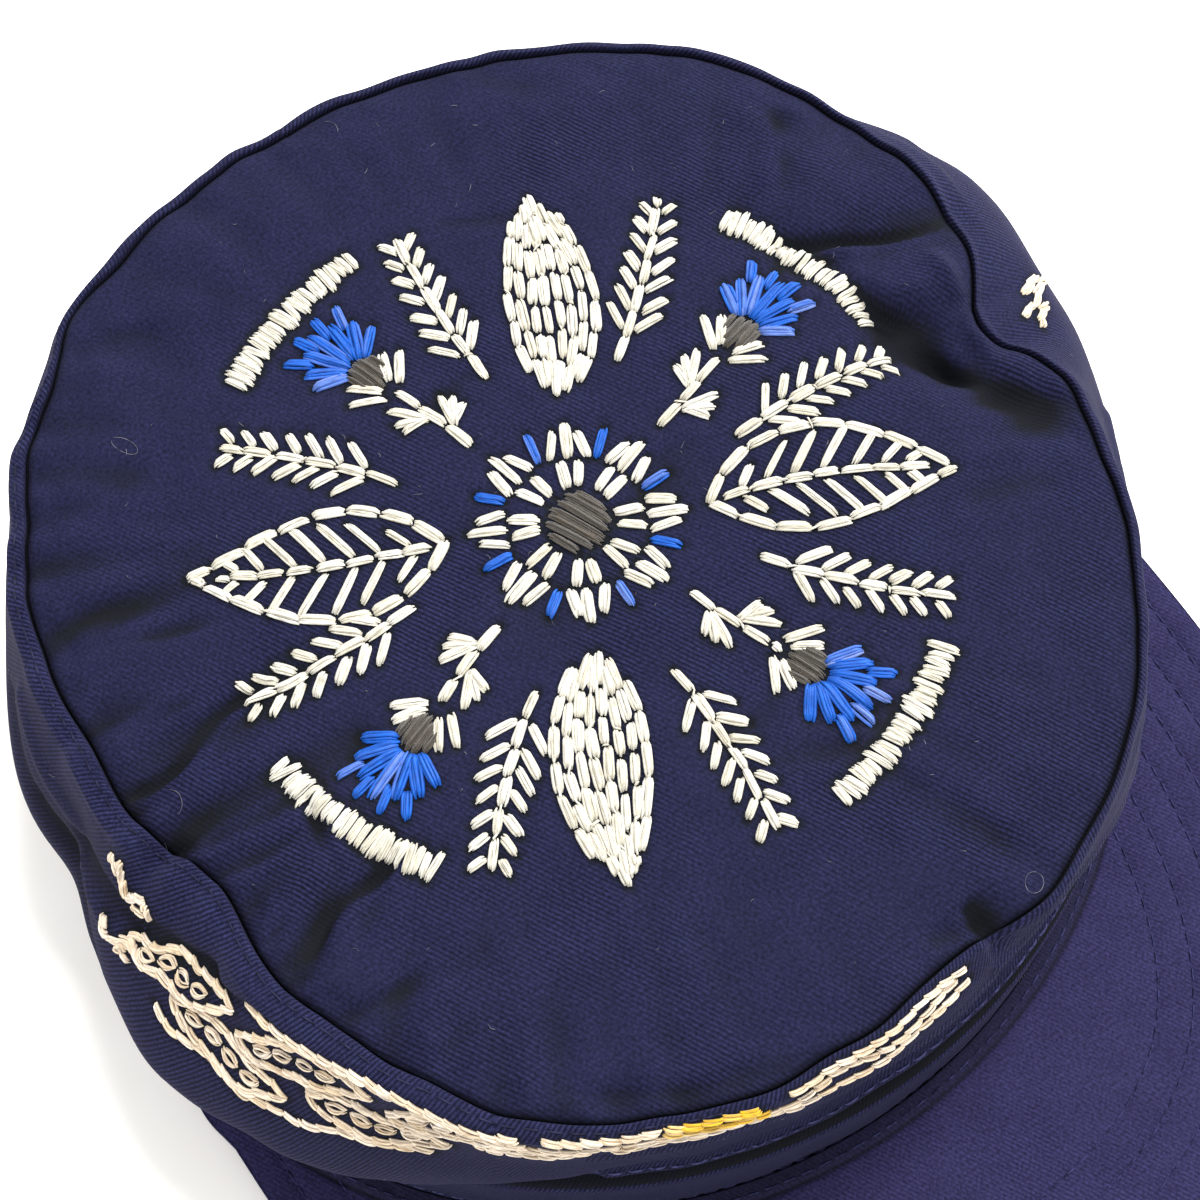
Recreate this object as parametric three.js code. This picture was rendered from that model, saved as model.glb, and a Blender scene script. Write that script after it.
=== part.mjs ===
// Army cap of soft navy twill: a flat oval top, a slumped side wall whose upper seam stands up as a welt,
// a two-layer head band and a stitched peak. It lies on a table as it would by itself.
// Millimetres, +Z up. The peak points along -Y, and azimuths are degrees from it, positive towards +X.

import * as THREE from "three";

// Cloth
const GAP = 0.3; // clearance between neighbouring pieces
const CLOTH = 1.4; // twill of the top and wall, with the seam allowances behind it
const AZIMUTH_STEPS = 96;

// Head band: an upright oval ring that stands on the table
const BAND_HALF_WIDTH = 96;
const BAND_HALF_LENGTH = 91;
const BAND_HEIGHT = 28;
const BAND_THICKNESS = 2.4;
const BAND_EDGE_ROUND = 0.5;

// Crown: the oval top sits a little behind the band's axis
const CROWN_CENTRE_Y = 6;
const RIM_HEIGHT = 79;
const LEDGE_SHARE = 0.93; // where the seam allowance under the top ends, as a share of the way to the rim
const CROWN_RINGS = [0.15, 0.32, 0.48, 0.6, 0.7, 0.78, 0.86, LEDGE_SHARE, 0.97, 1];
const CROWN_UNDER_RINGS = [LEDGE_SHARE, 0.8, 0.6, 0.3];
const CROWN_RISE = 1.2; // how far the middle stands above the rim
const EDGE_ROUND = 0.6; // how far the top's edge turns down into the groove

// Welt: the folded seam allowances that ring the top
const WELT_WIDTH = 4.2;

// Wall sections round the cap: the top's radius, then the wall's radius at three heights above the band,
// how high the welt stands above the top, and how far the top swells just inside its edge
const WAIST_HEIGHT = 35;
const BELLY_HEIGHT = 50;
const SHOULDER_HEIGHT = 68;
const WALL_STEPS = 10;
const WALL_SECTIONS = [
  { azimuth: -180, rim: 95.5, shoulder: 98.5, belly: 98.5, waist: 93.5, welt: 0.6, swell: 1.2 },
  { azimuth: -150, rim: 97.2, shoulder: 100.5, belly: 101.0, waist: 95.5, welt: 0.2, swell: 2.0 },
  { azimuth: -120, rim: 90.3, shoulder: 96.5, belly: 101.0, waist: 97.0, welt: 1.2, swell: 0.4 },
  { azimuth: -90, rim: 83.5, shoulder: 92.0, belly: 99.5, waist: 97.0, welt: 1.8, swell: 0.0 },
  { azimuth: -60, rim: 86.0, shoulder: 95.0, belly: 101.0, waist: 95.0, welt: 1.8, swell: 0.0 },
  { azimuth: -30, rim: 90.0, shoulder: 93.0, belly: 90.5, waist: 89.5, welt: 1.4, swell: 0.0 },
  { azimuth: 0, rim: 86.0, shoulder: 90.0, belly: 88.5, waist: 88.0, welt: 1.2, swell: 0.0 },
  { azimuth: 30, rim: 87.5, shoulder: 90.0, belly: 90.0, waist: 90.0, welt: 1.4, swell: 0.0 },
  { azimuth: 60, rim: 84.5, shoulder: 88.5, belly: 92.5, waist: 93.0, welt: 1.6, swell: 0.0 },
  { azimuth: 90, rim: 84.0, shoulder: 92.5, belly: 98.0, waist: 96.0, welt: 1.6, swell: 0.0 },
  { azimuth: 120, rim: 92.5, shoulder: 98.0, belly: 98.5, waist: 96.0, welt: 1.6, swell: 0.4 },
  { azimuth: 150, rim: 96.0, shoulder: 100.0, belly: 99.0, waist: 95.0, welt: 1.0, swell: 0.8 },
];

// Places where the rim is pushed in and drops; span is the half width in degrees
const RIM_DENTS = [
  { azimuth: 88.5, span: 7, push: 7.0, fall: 4.5 },
  { azimuth: -81, span: 7, push: 4.5, fall: 1.5 },
  { azimuth: 4, span: 6, push: 1.6, fall: 1.2 },
  { azimuth: 16, span: 6, push: -1.4, fall: 0 },
  { azimuth: -44, span: 10, push: -1.8, fall: 0 },
  { azimuth: 135, span: 10, push: -1.6, fall: 0 },
];

// Furrows and ridges across the top, as straight runs from one point to another
const CROWN_FURROWS = [
  { fromX: 64, fromY: 4, toX: 74, toY: -21, width: 6.5, depth: 5.5 },
  { fromX: 73, fromY: 8, toX: 78, toY: -17, width: 4.0, depth: -2.2 },
  { fromX: 58, fromY: 26, toX: 85, toY: 17, width: 4.5, depth: 2.2 },
  { fromX: 64, fromY: 35, toX: 84, toY: 27, width: 5.5, depth: -1.4 },
  { fromX: -84, fromY: 7, toX: -52, toY: 9, width: 4.2, depth: 2.2 },
  { fromX: -80, fromY: -2, toX: -50, toY: -5, width: 4.2, depth: 2.0 },
  { fromX: -79, fromY: -30, toX: -58, toY: -25, width: 3.6, depth: 1.6 },
  { fromX: -80, fromY: 37, toX: -55, toY: 34, width: 5.0, depth: 1.2 },
  { fromX: 13, fromY: -80, toX: 13, toY: -86, width: 4.0, depth: 2.6 },
  { fromX: -12, fromY: -4, toX: 14, toY: 3, width: 9.0, depth: 1.2 },
];

// Folds of the wall; span is the half width in degrees and tall the half height
const WALL_FOLDS = [
  { azimuth: -98, height: 56, span: 5, tall: 14, push: -3.5 },
  { azimuth: -76, height: 48, span: 12, tall: 13, push: 4.0 },
  { azimuth: -62, height: 60, span: 9, tall: 9, push: 1.2 },
  { azimuth: 84, height: 58, span: 10, tall: 12, push: 1.5 },
  { azimuth: 105, height: 62, span: 12, tall: 13, push: 7.5 },
  { azimuth: 165, height: 50, span: 10, tall: 16, push: 1.5 },
  { azimuth: -170, height: 45, span: 8, tall: 14, push: -1.5 },
];

// Peak: a stiff board whose outer edge is a superellipse
const PEAK_HALF_WIDTH = 102;
const PEAK_SHIFT = 3;
const PEAK_START_Y = -30;
const PEAK_TIP_Y = -155;
const PEAK_SQUARENESS = 2.5;
const PEAK_CORNER = 14; // how far the rounded corners run back along the band
const PEAK_THICKNESS = 3;
const PEAK_CLEARANCE = 0.6; // under its lowest edge
const PEAK_ARCH = 4;
const PEAK_SECTIONS = 36;
const CORNER_SECTIONS = 4;
const FLANGE_WIDTH = 5.5; // the strip beside the band that carries the first row of stitches
const FLANGE_GROOVE = 0.6;
const PEAK_ROWS = 4; // surface points between the flange and the outer edge

const NAVY = { color: 0x25254c, roughness: 0.9, metalness: 0 };

// Values round the cap

function direction(azimuth) {
  const turn = THREE.MathUtils.degToRad(azimuth);
  return new THREE.Vector2(Math.sin(turn), -Math.cos(turn));
}

function turnBetween(azimuth, other) {
  return ((((azimuth - other + 180) % 360) + 360) % 360) - 180;
}

function bell(distance) {
  return Math.exp(-distance * distance);
}

// A column of the sections table, interpolated smoothly round the whole turn
function around(column, azimuth) {
  const count = WALL_SECTIONS.length;
  const place = ((((azimuth + 180) % 360) + 360) % 360) / (360 / count);
  const row = Math.floor(place);
  const along = place - row;
  const value = (offset) => WALL_SECTIONS[(row + offset + count) % count][column];
  const slopeHere = (value(1) - value(-1)) / 2;
  const slopeNext = (value(2) - value(0)) / 2;
  const rise = value(1) - value(0);
  const curve = 3 * rise - 2 * slopeHere - slopeNext;
  const twist = slopeHere + slopeNext - 2 * rise;
  return value(0) + along * (slopeHere + along * (curve + along * twist));
}

function rimDent(quantity, azimuth) {
  let sum = 0;
  for (const dent of RIM_DENTS) {
    sum += dent[quantity] * bell(turnBetween(azimuth, dent.azimuth) / dent.span);
  }
  return sum;
}

function rimRadius(azimuth) {
  return around("rim", azimuth) - rimDent("push", azimuth);
}

function bandRadius(azimuth, inset = 0) {
  const way = direction(azimuth);
  const across = way.x / (BAND_HALF_WIDTH - inset);
  const along = way.y / (BAND_HALF_LENGTH - inset);
  return 1 / Math.hypot(across, along);
}

// Heights over the top

function furrowDepth(x, y) {
  const point = new THREE.Vector3(x, y, 0);
  const nearest = new THREE.Vector3();
  let depth = 0;
  for (const furrow of CROWN_FURROWS) {
    const start = new THREE.Vector3(furrow.fromX, furrow.fromY, 0);
    const end = new THREE.Vector3(furrow.toX, furrow.toY, 0);
    new THREE.Line3(start, end).closestPointToPoint(point, true, nearest);
    depth += furrow.depth * bell(nearest.distanceTo(point) / furrow.width);
  }
  return depth;
}

// The top is laid out by azimuth and by the share of the way from its centre to its rim
function crownPoint(share, azimuth, lowered = 0) {
  const rim = direction(azimuth).multiplyScalar(rimRadius(azimuth));
  const x = rim.x * share;
  const y = CROWN_CENTRE_Y + (rim.y - CROWN_CENTRE_Y) * share;
  const nearEdge = bell((share - 0.88) / 0.1);
  const height =
    RIM_HEIGHT +
    CROWN_RISE * (1 - share ** 4) -
    EDGE_ROUND * share ** 24 +
    around("swell", azimuth) * nearEdge -
    rimDent("fall", azimuth) * share ** 6 -
    furrowDepth(x, y);
  return new THREE.Vector3(x, y, height - lowered);
}

// Bodies from loops of points

function orientOutwards(positions, triangles) {
  const corner = (index) => new THREE.Vector3(...positions[index]);
  let volume = 0;
  for (const [a, b, c] of triangles) {
    volume += corner(a).dot(corner(b).cross(corner(c)));
  }
  return volume > 0 ? triangles : triangles.map(([a, b, c]) => [a, c, b]);
}

function geometryOf(points, triangles) {
  const positions = points.map((point) => point.toArray());
  const geometry = new THREE.BufferGeometry();
  geometry.setAttribute("position", new THREE.Float32BufferAttribute(positions.flat(), 3));
  geometry.setIndex(orientOutwards(positions, triangles).flat());
  geometry.computeVertexNormals();
  return geometry;
}

// Bridges neighbouring loops; a whole turn closes on itself, and an open run gets a cap on each end
function loopBody(loops, wholeTurn) {
  const size = loops[0].length;
  const spans = wholeTurn ? loops.length : loops.length - 1;
  const triangles = [];
  for (let i = 0; i < spans; i += 1) {
    for (let j = 0; j < size; j += 1) {
      const here = i * size;
      const next = ((i + 1) % loops.length) * size;
      const step = (j + 1) % size;
      triangles.push([here + j, here + step, next + step]);
      triangles.push([here + j, next + step, next + j]);
    }
  }
  if (!wholeTurn) {
    const last = (loops.length - 1) * size;
    for (let j = 0; j < size / 2 - 1; j += 1) {
      const far = size - 1 - j;
      triangles.push([j, far, far - 1], [j, far - 1, j + 1]);
      triangles.push([last + j, last + far - 1, last + far], [last + j, last + j + 1, last + far - 1]);
    }
  }
  return geometryOf(loops.flat(), triangles);
}

// Rings of points from one pole down and round to the other
function poleBody(topPole, rings, bottomPole) {
  const size = rings[0].length;
  const points = [topPole, ...rings.flat(), bottomPole];
  const bottom = points.length - 1;
  const lastRing = bottom - size;
  const triangles = [];
  for (let j = 0; j < size; j += 1) {
    const step = (j + 1) % size;
    triangles.push([0, 1 + j, 1 + step]);
    triangles.push([bottom, lastRing + step, lastRing + j]);
    for (let i = 0; i < rings.length - 1; i += 1) {
      const here = 1 + i * size;
      const next = here + size;
      triangles.push([here + j, next + j, next + step]);
      triangles.push([here + j, next + step, here + step]);
    }
  }
  return geometryOf(points, triangles);
}

function azimuths() {
  return Array.from({ length: AZIMUTH_STEPS }, (_, i) => -180 + (i * 360) / AZIMUTH_STEPS);
}

// Turns a flat outline of [radius, height] pairs into points at one azimuth
function standAt(azimuth, outline) {
  const way = direction(azimuth);
  return outline.map(([radius, height]) => new THREE.Vector3(way.x * radius, way.y * radius, height));
}

// Pieces

function crownTop() {
  const ring = (share, lowered) => azimuths().map((azimuth) => crownPoint(share, azimuth, lowered));
  const upper = CROWN_RINGS.map((share) => ring(share, 0));
  const lowerEdge = ring(1, CLOTH);
  const under = CROWN_UNDER_RINGS.map((share) => ring(share, CLOTH));
  return poleBody(crownPoint(0, 0), [...upper, lowerEdge, ...under], crownPoint(0, 0, CLOTH));
}

function wallFold(azimuth, height) {
  let push = 0;
  for (const fold of WALL_FOLDS) {
    const turn = turnBetween(azimuth, fold.azimuth) / fold.span;
    push += fold.push * bell(Math.hypot(turn, (height - fold.height) / fold.tall));
  }
  return push;
}

// The wall's outer line from the band up to the welt
function wallOutside(azimuth, rim, edge) {
  const guide = new THREE.SplineCurve([
    new THREE.Vector2(bandRadius(azimuth) - BAND_EDGE_ROUND, BAND_HEIGHT + GAP),
    new THREE.Vector2(around("waist", azimuth), WAIST_HEIGHT),
    new THREE.Vector2(around("belly", azimuth), BELLY_HEIGHT),
    new THREE.Vector2(around("shoulder", azimuth), SHOULDER_HEIGHT),
    new THREE.Vector2(rim + WELT_WIDTH, edge - 1.2),
  ]);
  return guide.getPoints(WALL_STEPS).map((point, i) => {
    const free = i > 0 && i < WALL_STEPS ? 1 : 0;
    return new THREE.Vector2(point.x + free * wallFold(azimuth, point.y), point.y);
  });
}

// The same line, one cloth thickness further in; its foot stays level on the band
function wallInside(outside) {
  return outside.slice(0, WALL_STEPS - 1).map((point, i) => {
    if (i === 0) return [point.x - CLOTH, point.y];
    const run = outside[i + 1].clone().sub(outside[i - 1]).normalize();
    return [point.x - run.y * CLOTH, point.y + run.x * CLOTH];
  });
}

function wallSection(azimuth) {
  const rim = rimRadius(azimuth);
  const edge = crownPoint(1, azimuth).z;
  const crest = edge + around("welt", azimuth);
  const ledge = edge - CLOTH - GAP;
  const outside = wallOutside(azimuth, rim, edge);
  const inside = wallInside(outside).reverse();
  return [
    ...standAt(azimuth, [
      ...outside.map((point) => [point.x, point.y]),
      [rim + WELT_WIDTH * 0.85, crest - 0.2],
      [rim + WELT_WIDTH * 0.45, crest + 0.2],
      [rim + GAP + 0.5, crest - 0.4],
      [rim + GAP, ledge],
    ]),
    crownPoint(LEDGE_SHARE, azimuth, CLOTH + GAP),
    crownPoint(LEDGE_SHARE, azimuth, 2 * CLOTH + GAP),
    ...standAt(azimuth, [[rim - 0.6, ledge - CLOTH], ...inside]),
  ];
}

function crownWall() {
  return loopBody(azimuths().map(wallSection), true);
}

function bandSection(azimuth) {
  const outer = bandRadius(azimuth);
  const inner = bandRadius(azimuth, BAND_THICKNESS);
  return standAt(azimuth, [
    [inner, 0],
    [outer - BAND_EDGE_ROUND, 0],
    [outer, BAND_EDGE_ROUND * 2],
    [outer, BAND_HEIGHT - BAND_EDGE_ROUND],
    [outer - BAND_EDGE_ROUND, BAND_HEIGHT],
    [inner, BAND_HEIGHT],
  ]);
}

function headBand() {
  return loopBody(azimuths().map(bandSection), true);
}

// Where the peak meets the band at a distance y in front of the band's axis
function besideBand(y, side) {
  const reach = Math.sqrt(1 - (y / BAND_HALF_LENGTH) ** 2);
  return new THREE.Vector2(side * BAND_HALF_WIDTH * reach, y);
}

// The peak's outer edge from the +X side round the tip to the -X side, in equal steps
function peakOutline() {
  const edge = [];
  for (let turn = 0; turn <= 180; turn += 2) {
    const way = direction(90 - turn);
    const across = Math.sign(way.x) * Math.abs(way.x) ** (2 / PEAK_SQUARENESS);
    const forward = Math.abs(way.y) ** (2 / PEAK_SQUARENESS);
    const x = PEAK_SHIFT + PEAK_HALF_WIDTH * across;
    const y = PEAK_START_Y + (PEAK_TIP_Y - PEAK_START_Y) * forward;
    edge.push(new THREE.Vector2(x, y));
  }
  return new THREE.SplineCurve(edge).getSpacedPoints(PEAK_SECTIONS);
}

// Pairs of inner and outer points, one for each section across the peak
function peakPairs() {
  const pairs = peakOutline().map((outer) => {
    const azimuth = THREE.MathUtils.radToDeg(Math.atan2(outer.x, -outer.y));
    const inner = direction(azimuth).multiplyScalar(bandRadius(azimuth) + GAP);
    return { inner, outer };
  });
  const corner = (pair, side) => {
    const turned = [];
    for (let i = 1; i <= CORNER_SECTIONS; i += 1) {
      const turn = (i / (CORNER_SECTIONS + 1)) * (Math.PI / 2);
      const back = PEAK_CORNER * Math.sin(turn);
      const inner = besideBand(pair.inner.y + back, side);
      inner.x += side * GAP * 1.5;
      const reach = pair.outer.distanceTo(pair.inner) * Math.cos(turn);
      const outer = new THREE.Vector2(inner.x + side * reach, inner.y);
      turned.push({ inner, outer });
    }
    return turned;
  };
  const first = corner(pairs[0], 1).reverse();
  const last = corner(pairs[pairs.length - 1], -1);
  return [...first, ...pairs, ...last];
}

function peakSection({ inner, outer }) {
  const reach = inner.distanceTo(outer);
  const flange = Math.min(FLANGE_WIDTH / reach, 0.5);
  const shares = [0, flange * 0.8, flange, flange * 1.2];
  for (let i = 1; i <= PEAK_ROWS; i += 1) {
    shares.push(flange * 1.2 + (0.98 - flange * 1.2) * (i / PEAK_ROWS));
  }
  const place = (share, lift) => {
    const at = inner.clone().lerp(outer, share);
    const across = (at.x - PEAK_SHIFT) / (PEAK_HALF_WIDTH + 1);
    const arch = PEAK_ARCH * (1 - Math.min(1, across * across)) * (1 - 0.4 * share * share);
    return new THREE.Vector3(at.x, at.y, PEAK_CLEARANCE + arch + lift);
  };
  const sunk = (share) => (share === flange ? FLANGE_GROOVE : 0);
  const upper = shares.map((share) => place(share, PEAK_THICKNESS - sunk(share)));
  const lower = shares.map((share) => place(share, 0)).reverse();
  return [...upper, place(1, PEAK_THICKNESS * 0.7), place(1, PEAK_THICKNESS * 0.3), ...lower];
}

function peak() {
  return loopBody(peakPairs().map(peakSection), false);
}

// Assembly, with the origin in the middle of the footprint on the table

function cap() {
  const pieces = { crown_top: crownTop(), crown_wall: crownWall(), head_band: headBand(), peak: peak() };
  const group = new THREE.Group();
  for (const [name, geometry] of Object.entries(pieces)) {
    const mesh = new THREE.Mesh(geometry, new THREE.MeshStandardMaterial(NAVY));
    mesh.name = name;
    group.add(mesh);
  }
  const box = new THREE.Box3().setFromObject(group);
  const middle = box.getCenter(new THREE.Vector3());
  group.position.set(-middle.x, -middle.y, -box.min.z);
  return group;
}

export default cap();
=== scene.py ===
# Looks of the army cap: fine cloth surfaces, seams, machine stitching, hand embroidery and lint,
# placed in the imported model's frame. Lengths are millimetres in the cap's own axes, whose origin is
# the middle of the head band on the table, and become metres in the frame when a mesh is made.
# Azimuths are degrees from the peak (-Y), positive towards +X.

import math

import bpy
import numpy as np
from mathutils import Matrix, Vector
from mathutils.kdtree import KDTree


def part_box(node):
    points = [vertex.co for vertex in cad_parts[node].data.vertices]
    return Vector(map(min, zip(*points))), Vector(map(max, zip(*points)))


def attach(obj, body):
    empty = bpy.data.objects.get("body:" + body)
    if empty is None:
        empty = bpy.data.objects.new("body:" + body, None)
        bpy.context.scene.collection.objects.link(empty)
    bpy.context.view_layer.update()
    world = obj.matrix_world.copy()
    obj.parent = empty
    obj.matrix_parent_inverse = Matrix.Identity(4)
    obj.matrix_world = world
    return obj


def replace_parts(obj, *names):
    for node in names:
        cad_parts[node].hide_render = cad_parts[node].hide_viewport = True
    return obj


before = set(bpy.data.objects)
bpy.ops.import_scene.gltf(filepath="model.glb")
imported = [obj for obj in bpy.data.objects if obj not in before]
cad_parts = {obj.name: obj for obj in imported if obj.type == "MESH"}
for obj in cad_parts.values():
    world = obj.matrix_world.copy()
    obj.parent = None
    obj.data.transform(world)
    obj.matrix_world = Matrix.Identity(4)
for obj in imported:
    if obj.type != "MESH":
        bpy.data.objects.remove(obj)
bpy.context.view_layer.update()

MM = 0.001
BODY = "root"

# Head band and cloth, as in the solids
GAP = 0.3
CLOTH = 1.4
BAND_HALF_WIDTH = 96.0
BAND_HALF_LENGTH = 91.0
BAND_HEIGHT = 28.0
BAND_EDGE_ROUND = 0.5
CLOTH_RADIUS = 94  # radius at which lengths round the cap are measured

# Crown, as in the solids
CROWN_CENTRE_Y = 6.0
RIM_HEIGHT = 79.0
LEDGE_SHARE = 0.93
CROWN_RISE = 1.2
EDGE_PUCKER = 0.28  # small puckers of the cloth along the top seam
EDGE_ROUND = 0.6
EDGE_DROP = 0.9  # last drop of the surface into the seam
WAIST_HEIGHT = 35.0
BELLY_HEIGHT = 50.0
SHOULDER_HEIGHT = 68.0

SECTION_COLUMNS = ("azimuth", "rim", "shoulder", "belly", "waist", "swell")
WALL_SECTIONS = np.array(
    [
        (-180, 95.5, 98.5, 98.5, 93.5, 1.2),
        (-150, 97.2, 100.5, 101.0, 95.5, 2.0),
        (-120, 90.3, 96.5, 101.0, 97.0, 0.4),
        (-90, 83.5, 92.0, 99.5, 97.0, 0.0),
        (-60, 86.0, 95.0, 101.0, 95.0, 0.0),
        (-30, 90.0, 93.0, 90.5, 89.5, 0.0),
        (0, 86.0, 90.0, 88.5, 88.0, 0.0),
        (30, 87.5, 90.0, 90.0, 90.0, 0.0),
        (60, 84.5, 88.5, 92.5, 93.0, 0.0),
        (90, 84.0, 92.5, 98.0, 96.0, 0.0),
        (120, 92.5, 98.0, 98.5, 96.0, 0.4),
        (150, 96.0, 100.0, 99.0, 95.0, 0.8),
    ]
)

# azimuth, span, push, fall
RIM_DENTS = [
    (88.5, 7, 7.0, 4.5),
    (-81, 7, 4.5, 1.5),
    (4, 6, 1.6, 1.2),
    (16, 6, -1.4, 0),
    (-44, 10, -1.8, 0),
    (135, 10, -1.6, 0),
]

# from x, from y, to x, to y, width, depth
CROWN_FURROWS = [
    (64, 5, 74, -18, 6.0, 5.5),
    (73, 8, 78, -17, 4.0, -2.2),
    (58, 26, 85, 17, 4.5, 2.2),
    (64, 35, 84, 27, 5.5, -1.4),
    (-84, 7, -52, 9, 4.2, 2.2),
    (-80, -2, -50, -5, 4.2, 2.0),
    (-79, -30, -58, -25, 3.6, 1.6),
    (-80, 37, -55, 34, 5.0, 1.2),
    (13, -82, 14, -87, 3.4, 2.4),
    (-12, -4, 14, 3, 9.0, 1.2),
]

# azimuth, height, span, tall, push
WALL_FOLDS = [
    (-98, 56, 5, 14, -3.5),
    (-76, 48, 12, 13, 4.0),
    (-62, 60, 9, 9, 1.2),
    (84, 58, 10, 12, 1.5),
    (105, 62, 12, 13, 7.5),
    (165, 50, 10, 16, 1.5),
    (-170, 45, 8, 14, -1.5),
]

# Folds that the dressed crown shows more sharply: a start, a middle and an end on the crown, the
# width, the depth (below zero is a ridge) and a lip beside it (above zero on the left of the run)
CROWN_FOLDS = [
    ((74, 54), (66.6, 42), (61, 30), 3.2, 0.9, -0.4),
    ((62, 36.5), (70, 40), (79, 38.5), 2.4, -0.8, 0),
    ((54, 32), (70, 21), (90, 18.5), 1.4, 1.7, -0.9),
    ((77, 16), (76.2, 3), (77.5, -16), 1.8, -2.0, 0),
    ((60, 27), (64, 13), (68, 1), 2.4, 1.7, 0.5),
    ((65, 15), (69.5, -8), (84, -26), 2.3, 3.0, 0.8),
    ((52, -17), (66, -24.5), (79, -26.5), 2.4, 0.8, 0),
    ((51, -25), (63, -30), (74, -31.5), 2.2, 0.6, 0),
    ((-84, 40), (-70, 37), (-53, 34.5), 2.2, 0.5, 0.3),
    ((-88, 36), (-78, 34.5), (-68, 34), 1.2, -0.6, 0),
    ((-79, 32), (-66.7, 27.6), (-52, 23.5), 1.5, 0.8, -0.4),
    ((-90, 22), (-78, 21), (-64, 19), 1.3, -0.6, 0),
    ((-86, 16.5), (-74, 15.5), (-62, 15), 1.1, 0.6, 0.3),
    ((-90, 7.5), (-70, 8.9), (-47, 15.5), 1.2, 1.5, -0.9),
    ((-84, 6), (-81, -3.5), (-70, -1), 0.9, 1.9, -0.7),
    ((-88, -4), (-73, -6), (-58, -6), 1.2, 0.9, -0.5),
    ((-84, -11), (-72, -12), (-61, -12), 1.4, 1.0, -0.5),
    ((-84, -17.5), (-74, -18), (-65, -16.5), 1.2, -0.7, 0),
    ((-60.5, -5), (-61.5, -14), (-63.5, -22), 1.3, 1.0, 0.4),
    ((-80, -23), (-71, -22.5), (-64, -20), 1.2, 0.8, 0.3),
    ((-84, -32.5), (-63.5, -27), (-49, -19), 1.3, 1.4, -1.0),
    ((-82, -32), (-71, -36.3), (-62, -34), 1.3, -0.8, 0),
    ((-80, -40), (-66, -42), (-56, -40), 1.6, 0.8, 0.3),
    ((-72, -47), (-62, -47), (-52, -45), 1.3, -0.6, 0),
    ((-74, -53), (-62, -52.5), (-52, -51), 1.5, 0.6, 0.3),
    ((-26, 13.5), (-14, 17.5), (-2, 19.5), 2.1, 0.6, 0.3),
    ((-20, 56), (-16.5, 48), (-12, 39), 2.0, 0.5, 0),
    ((-14, 35), (-3, 37), (8, 38.5), 2.1, 0.6, 0.3),
    ((2, 3.5), (14, 5), (28, 4.5), 2.5, 0.8, 0.4),
    ((25, 14.5), (33, 14), (42, 13), 2.1, 0.6, 0),
    ((-6, -35.5), (2, -38), (10, -40.5), 2.3, 0.9, 0),
    ((8, -40), (17, -45.5), (26, -52.5), 2.6, 1.0, 0.4),
    ((0, -43.5), (9, -47.5), (18, -51.5), 1.9, 0.7, 0),
    ((13, -53), (19.5, -67), (24, -84), 3.0, 0.7, 0.4),
    ((12.5, -78), (14.2, -82.5), (16.0, -90), 1.8, 2.2, -0.6),
    ((2, -81), (10, -81.8), (20, -83), 1.5, 1.2, 0),
    ((-62, -63), (-38, -78.5), (-12, -87), 2.6, 0.7, 0.3),
    ((11, 65.3), (19, 62.4), (27, 59), 1.6, 0.5, 0),
    ((5, 95), (17, 91.5), (29, 88), 2.8, -0.4, 0),
    ((-20, 91), (-8, 93.2), (2, 94), 2.6, -0.4, 0),
    ((33, 92), (38, 84), (44, 77), 2.2, 0.8, 0.3),
    ((-46, 82), (-41, 75), (-36, 68), 2.4, 0.6, 0.3),
    ((-70, 60), (-60, 55), (-50, 51), 2.6, 0.6, 0),
    ((88, -2), (78, 1), (70, 2), 1.4, 0.9, 0.4),
]
FOLD_FADE = (0.24, 0.62)  # shares of its run by which a fold is deep, and from which it dies away
FOLD_WAVER = 1.0  # millimetres by which folds stray from their line
FOLD_WAVER_LENGTH = 15.0
FURROW_SHARE = 0.75  # how much of the solids' smoother furrows stays under the sharper folds

# from azimuth, from height, to azimuth, to height, width, push: sharp creases of the side wall
WALL_CREASES = [
    (-36, 64.5, 8, 66, 0.9, 0.9),
    (-34, 60.5, 6, 61.5, 2.0, -1.4),
    (-98, 62, -76, 73.5, 1.7, -1.4),
    (-96, 58.5, -74, 70, 1.9, 0.9),
    (-112, 70, -98, 64, 1.6, 0.8),
    (-114, 63, -98, 55, 2.2, -1.0),
    (-104, 58, -90, 50, 2.5, -0.8),
    (-72, 39, -46, 37, 1.8, 0.9),
    (-66, 33, -40, 32, 2.0, -0.7),
    (60, 66, 76, 60, 2.0, 0.8),
    (112, 72, 128, 60, 2.5, 0.8),
    (140, 66, 158, 52, 3.0, 0.9),
    (-150, 70, -138, 54, 3.0, 0.9),
    (30, 52, 52, 46, 3.5, -0.8),
    (-44, 30.3, 60, 30.6, 1.1, -2.4),
    (60, 30.6, 90, 30.3, 1.1, -1.8),
    (-34, 34.6, 62, 35.0, 1.9, 1.5),
    (4, 46, 44, 48, 1.6, -0.5),
    (8, 69, 44, 62, 0.9, 0.8),
    (12, 63.5, 46, 57.5, 1.4, -0.9),
    (-96, 60, -68, 77, 1.3, -1.1),
]

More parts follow.
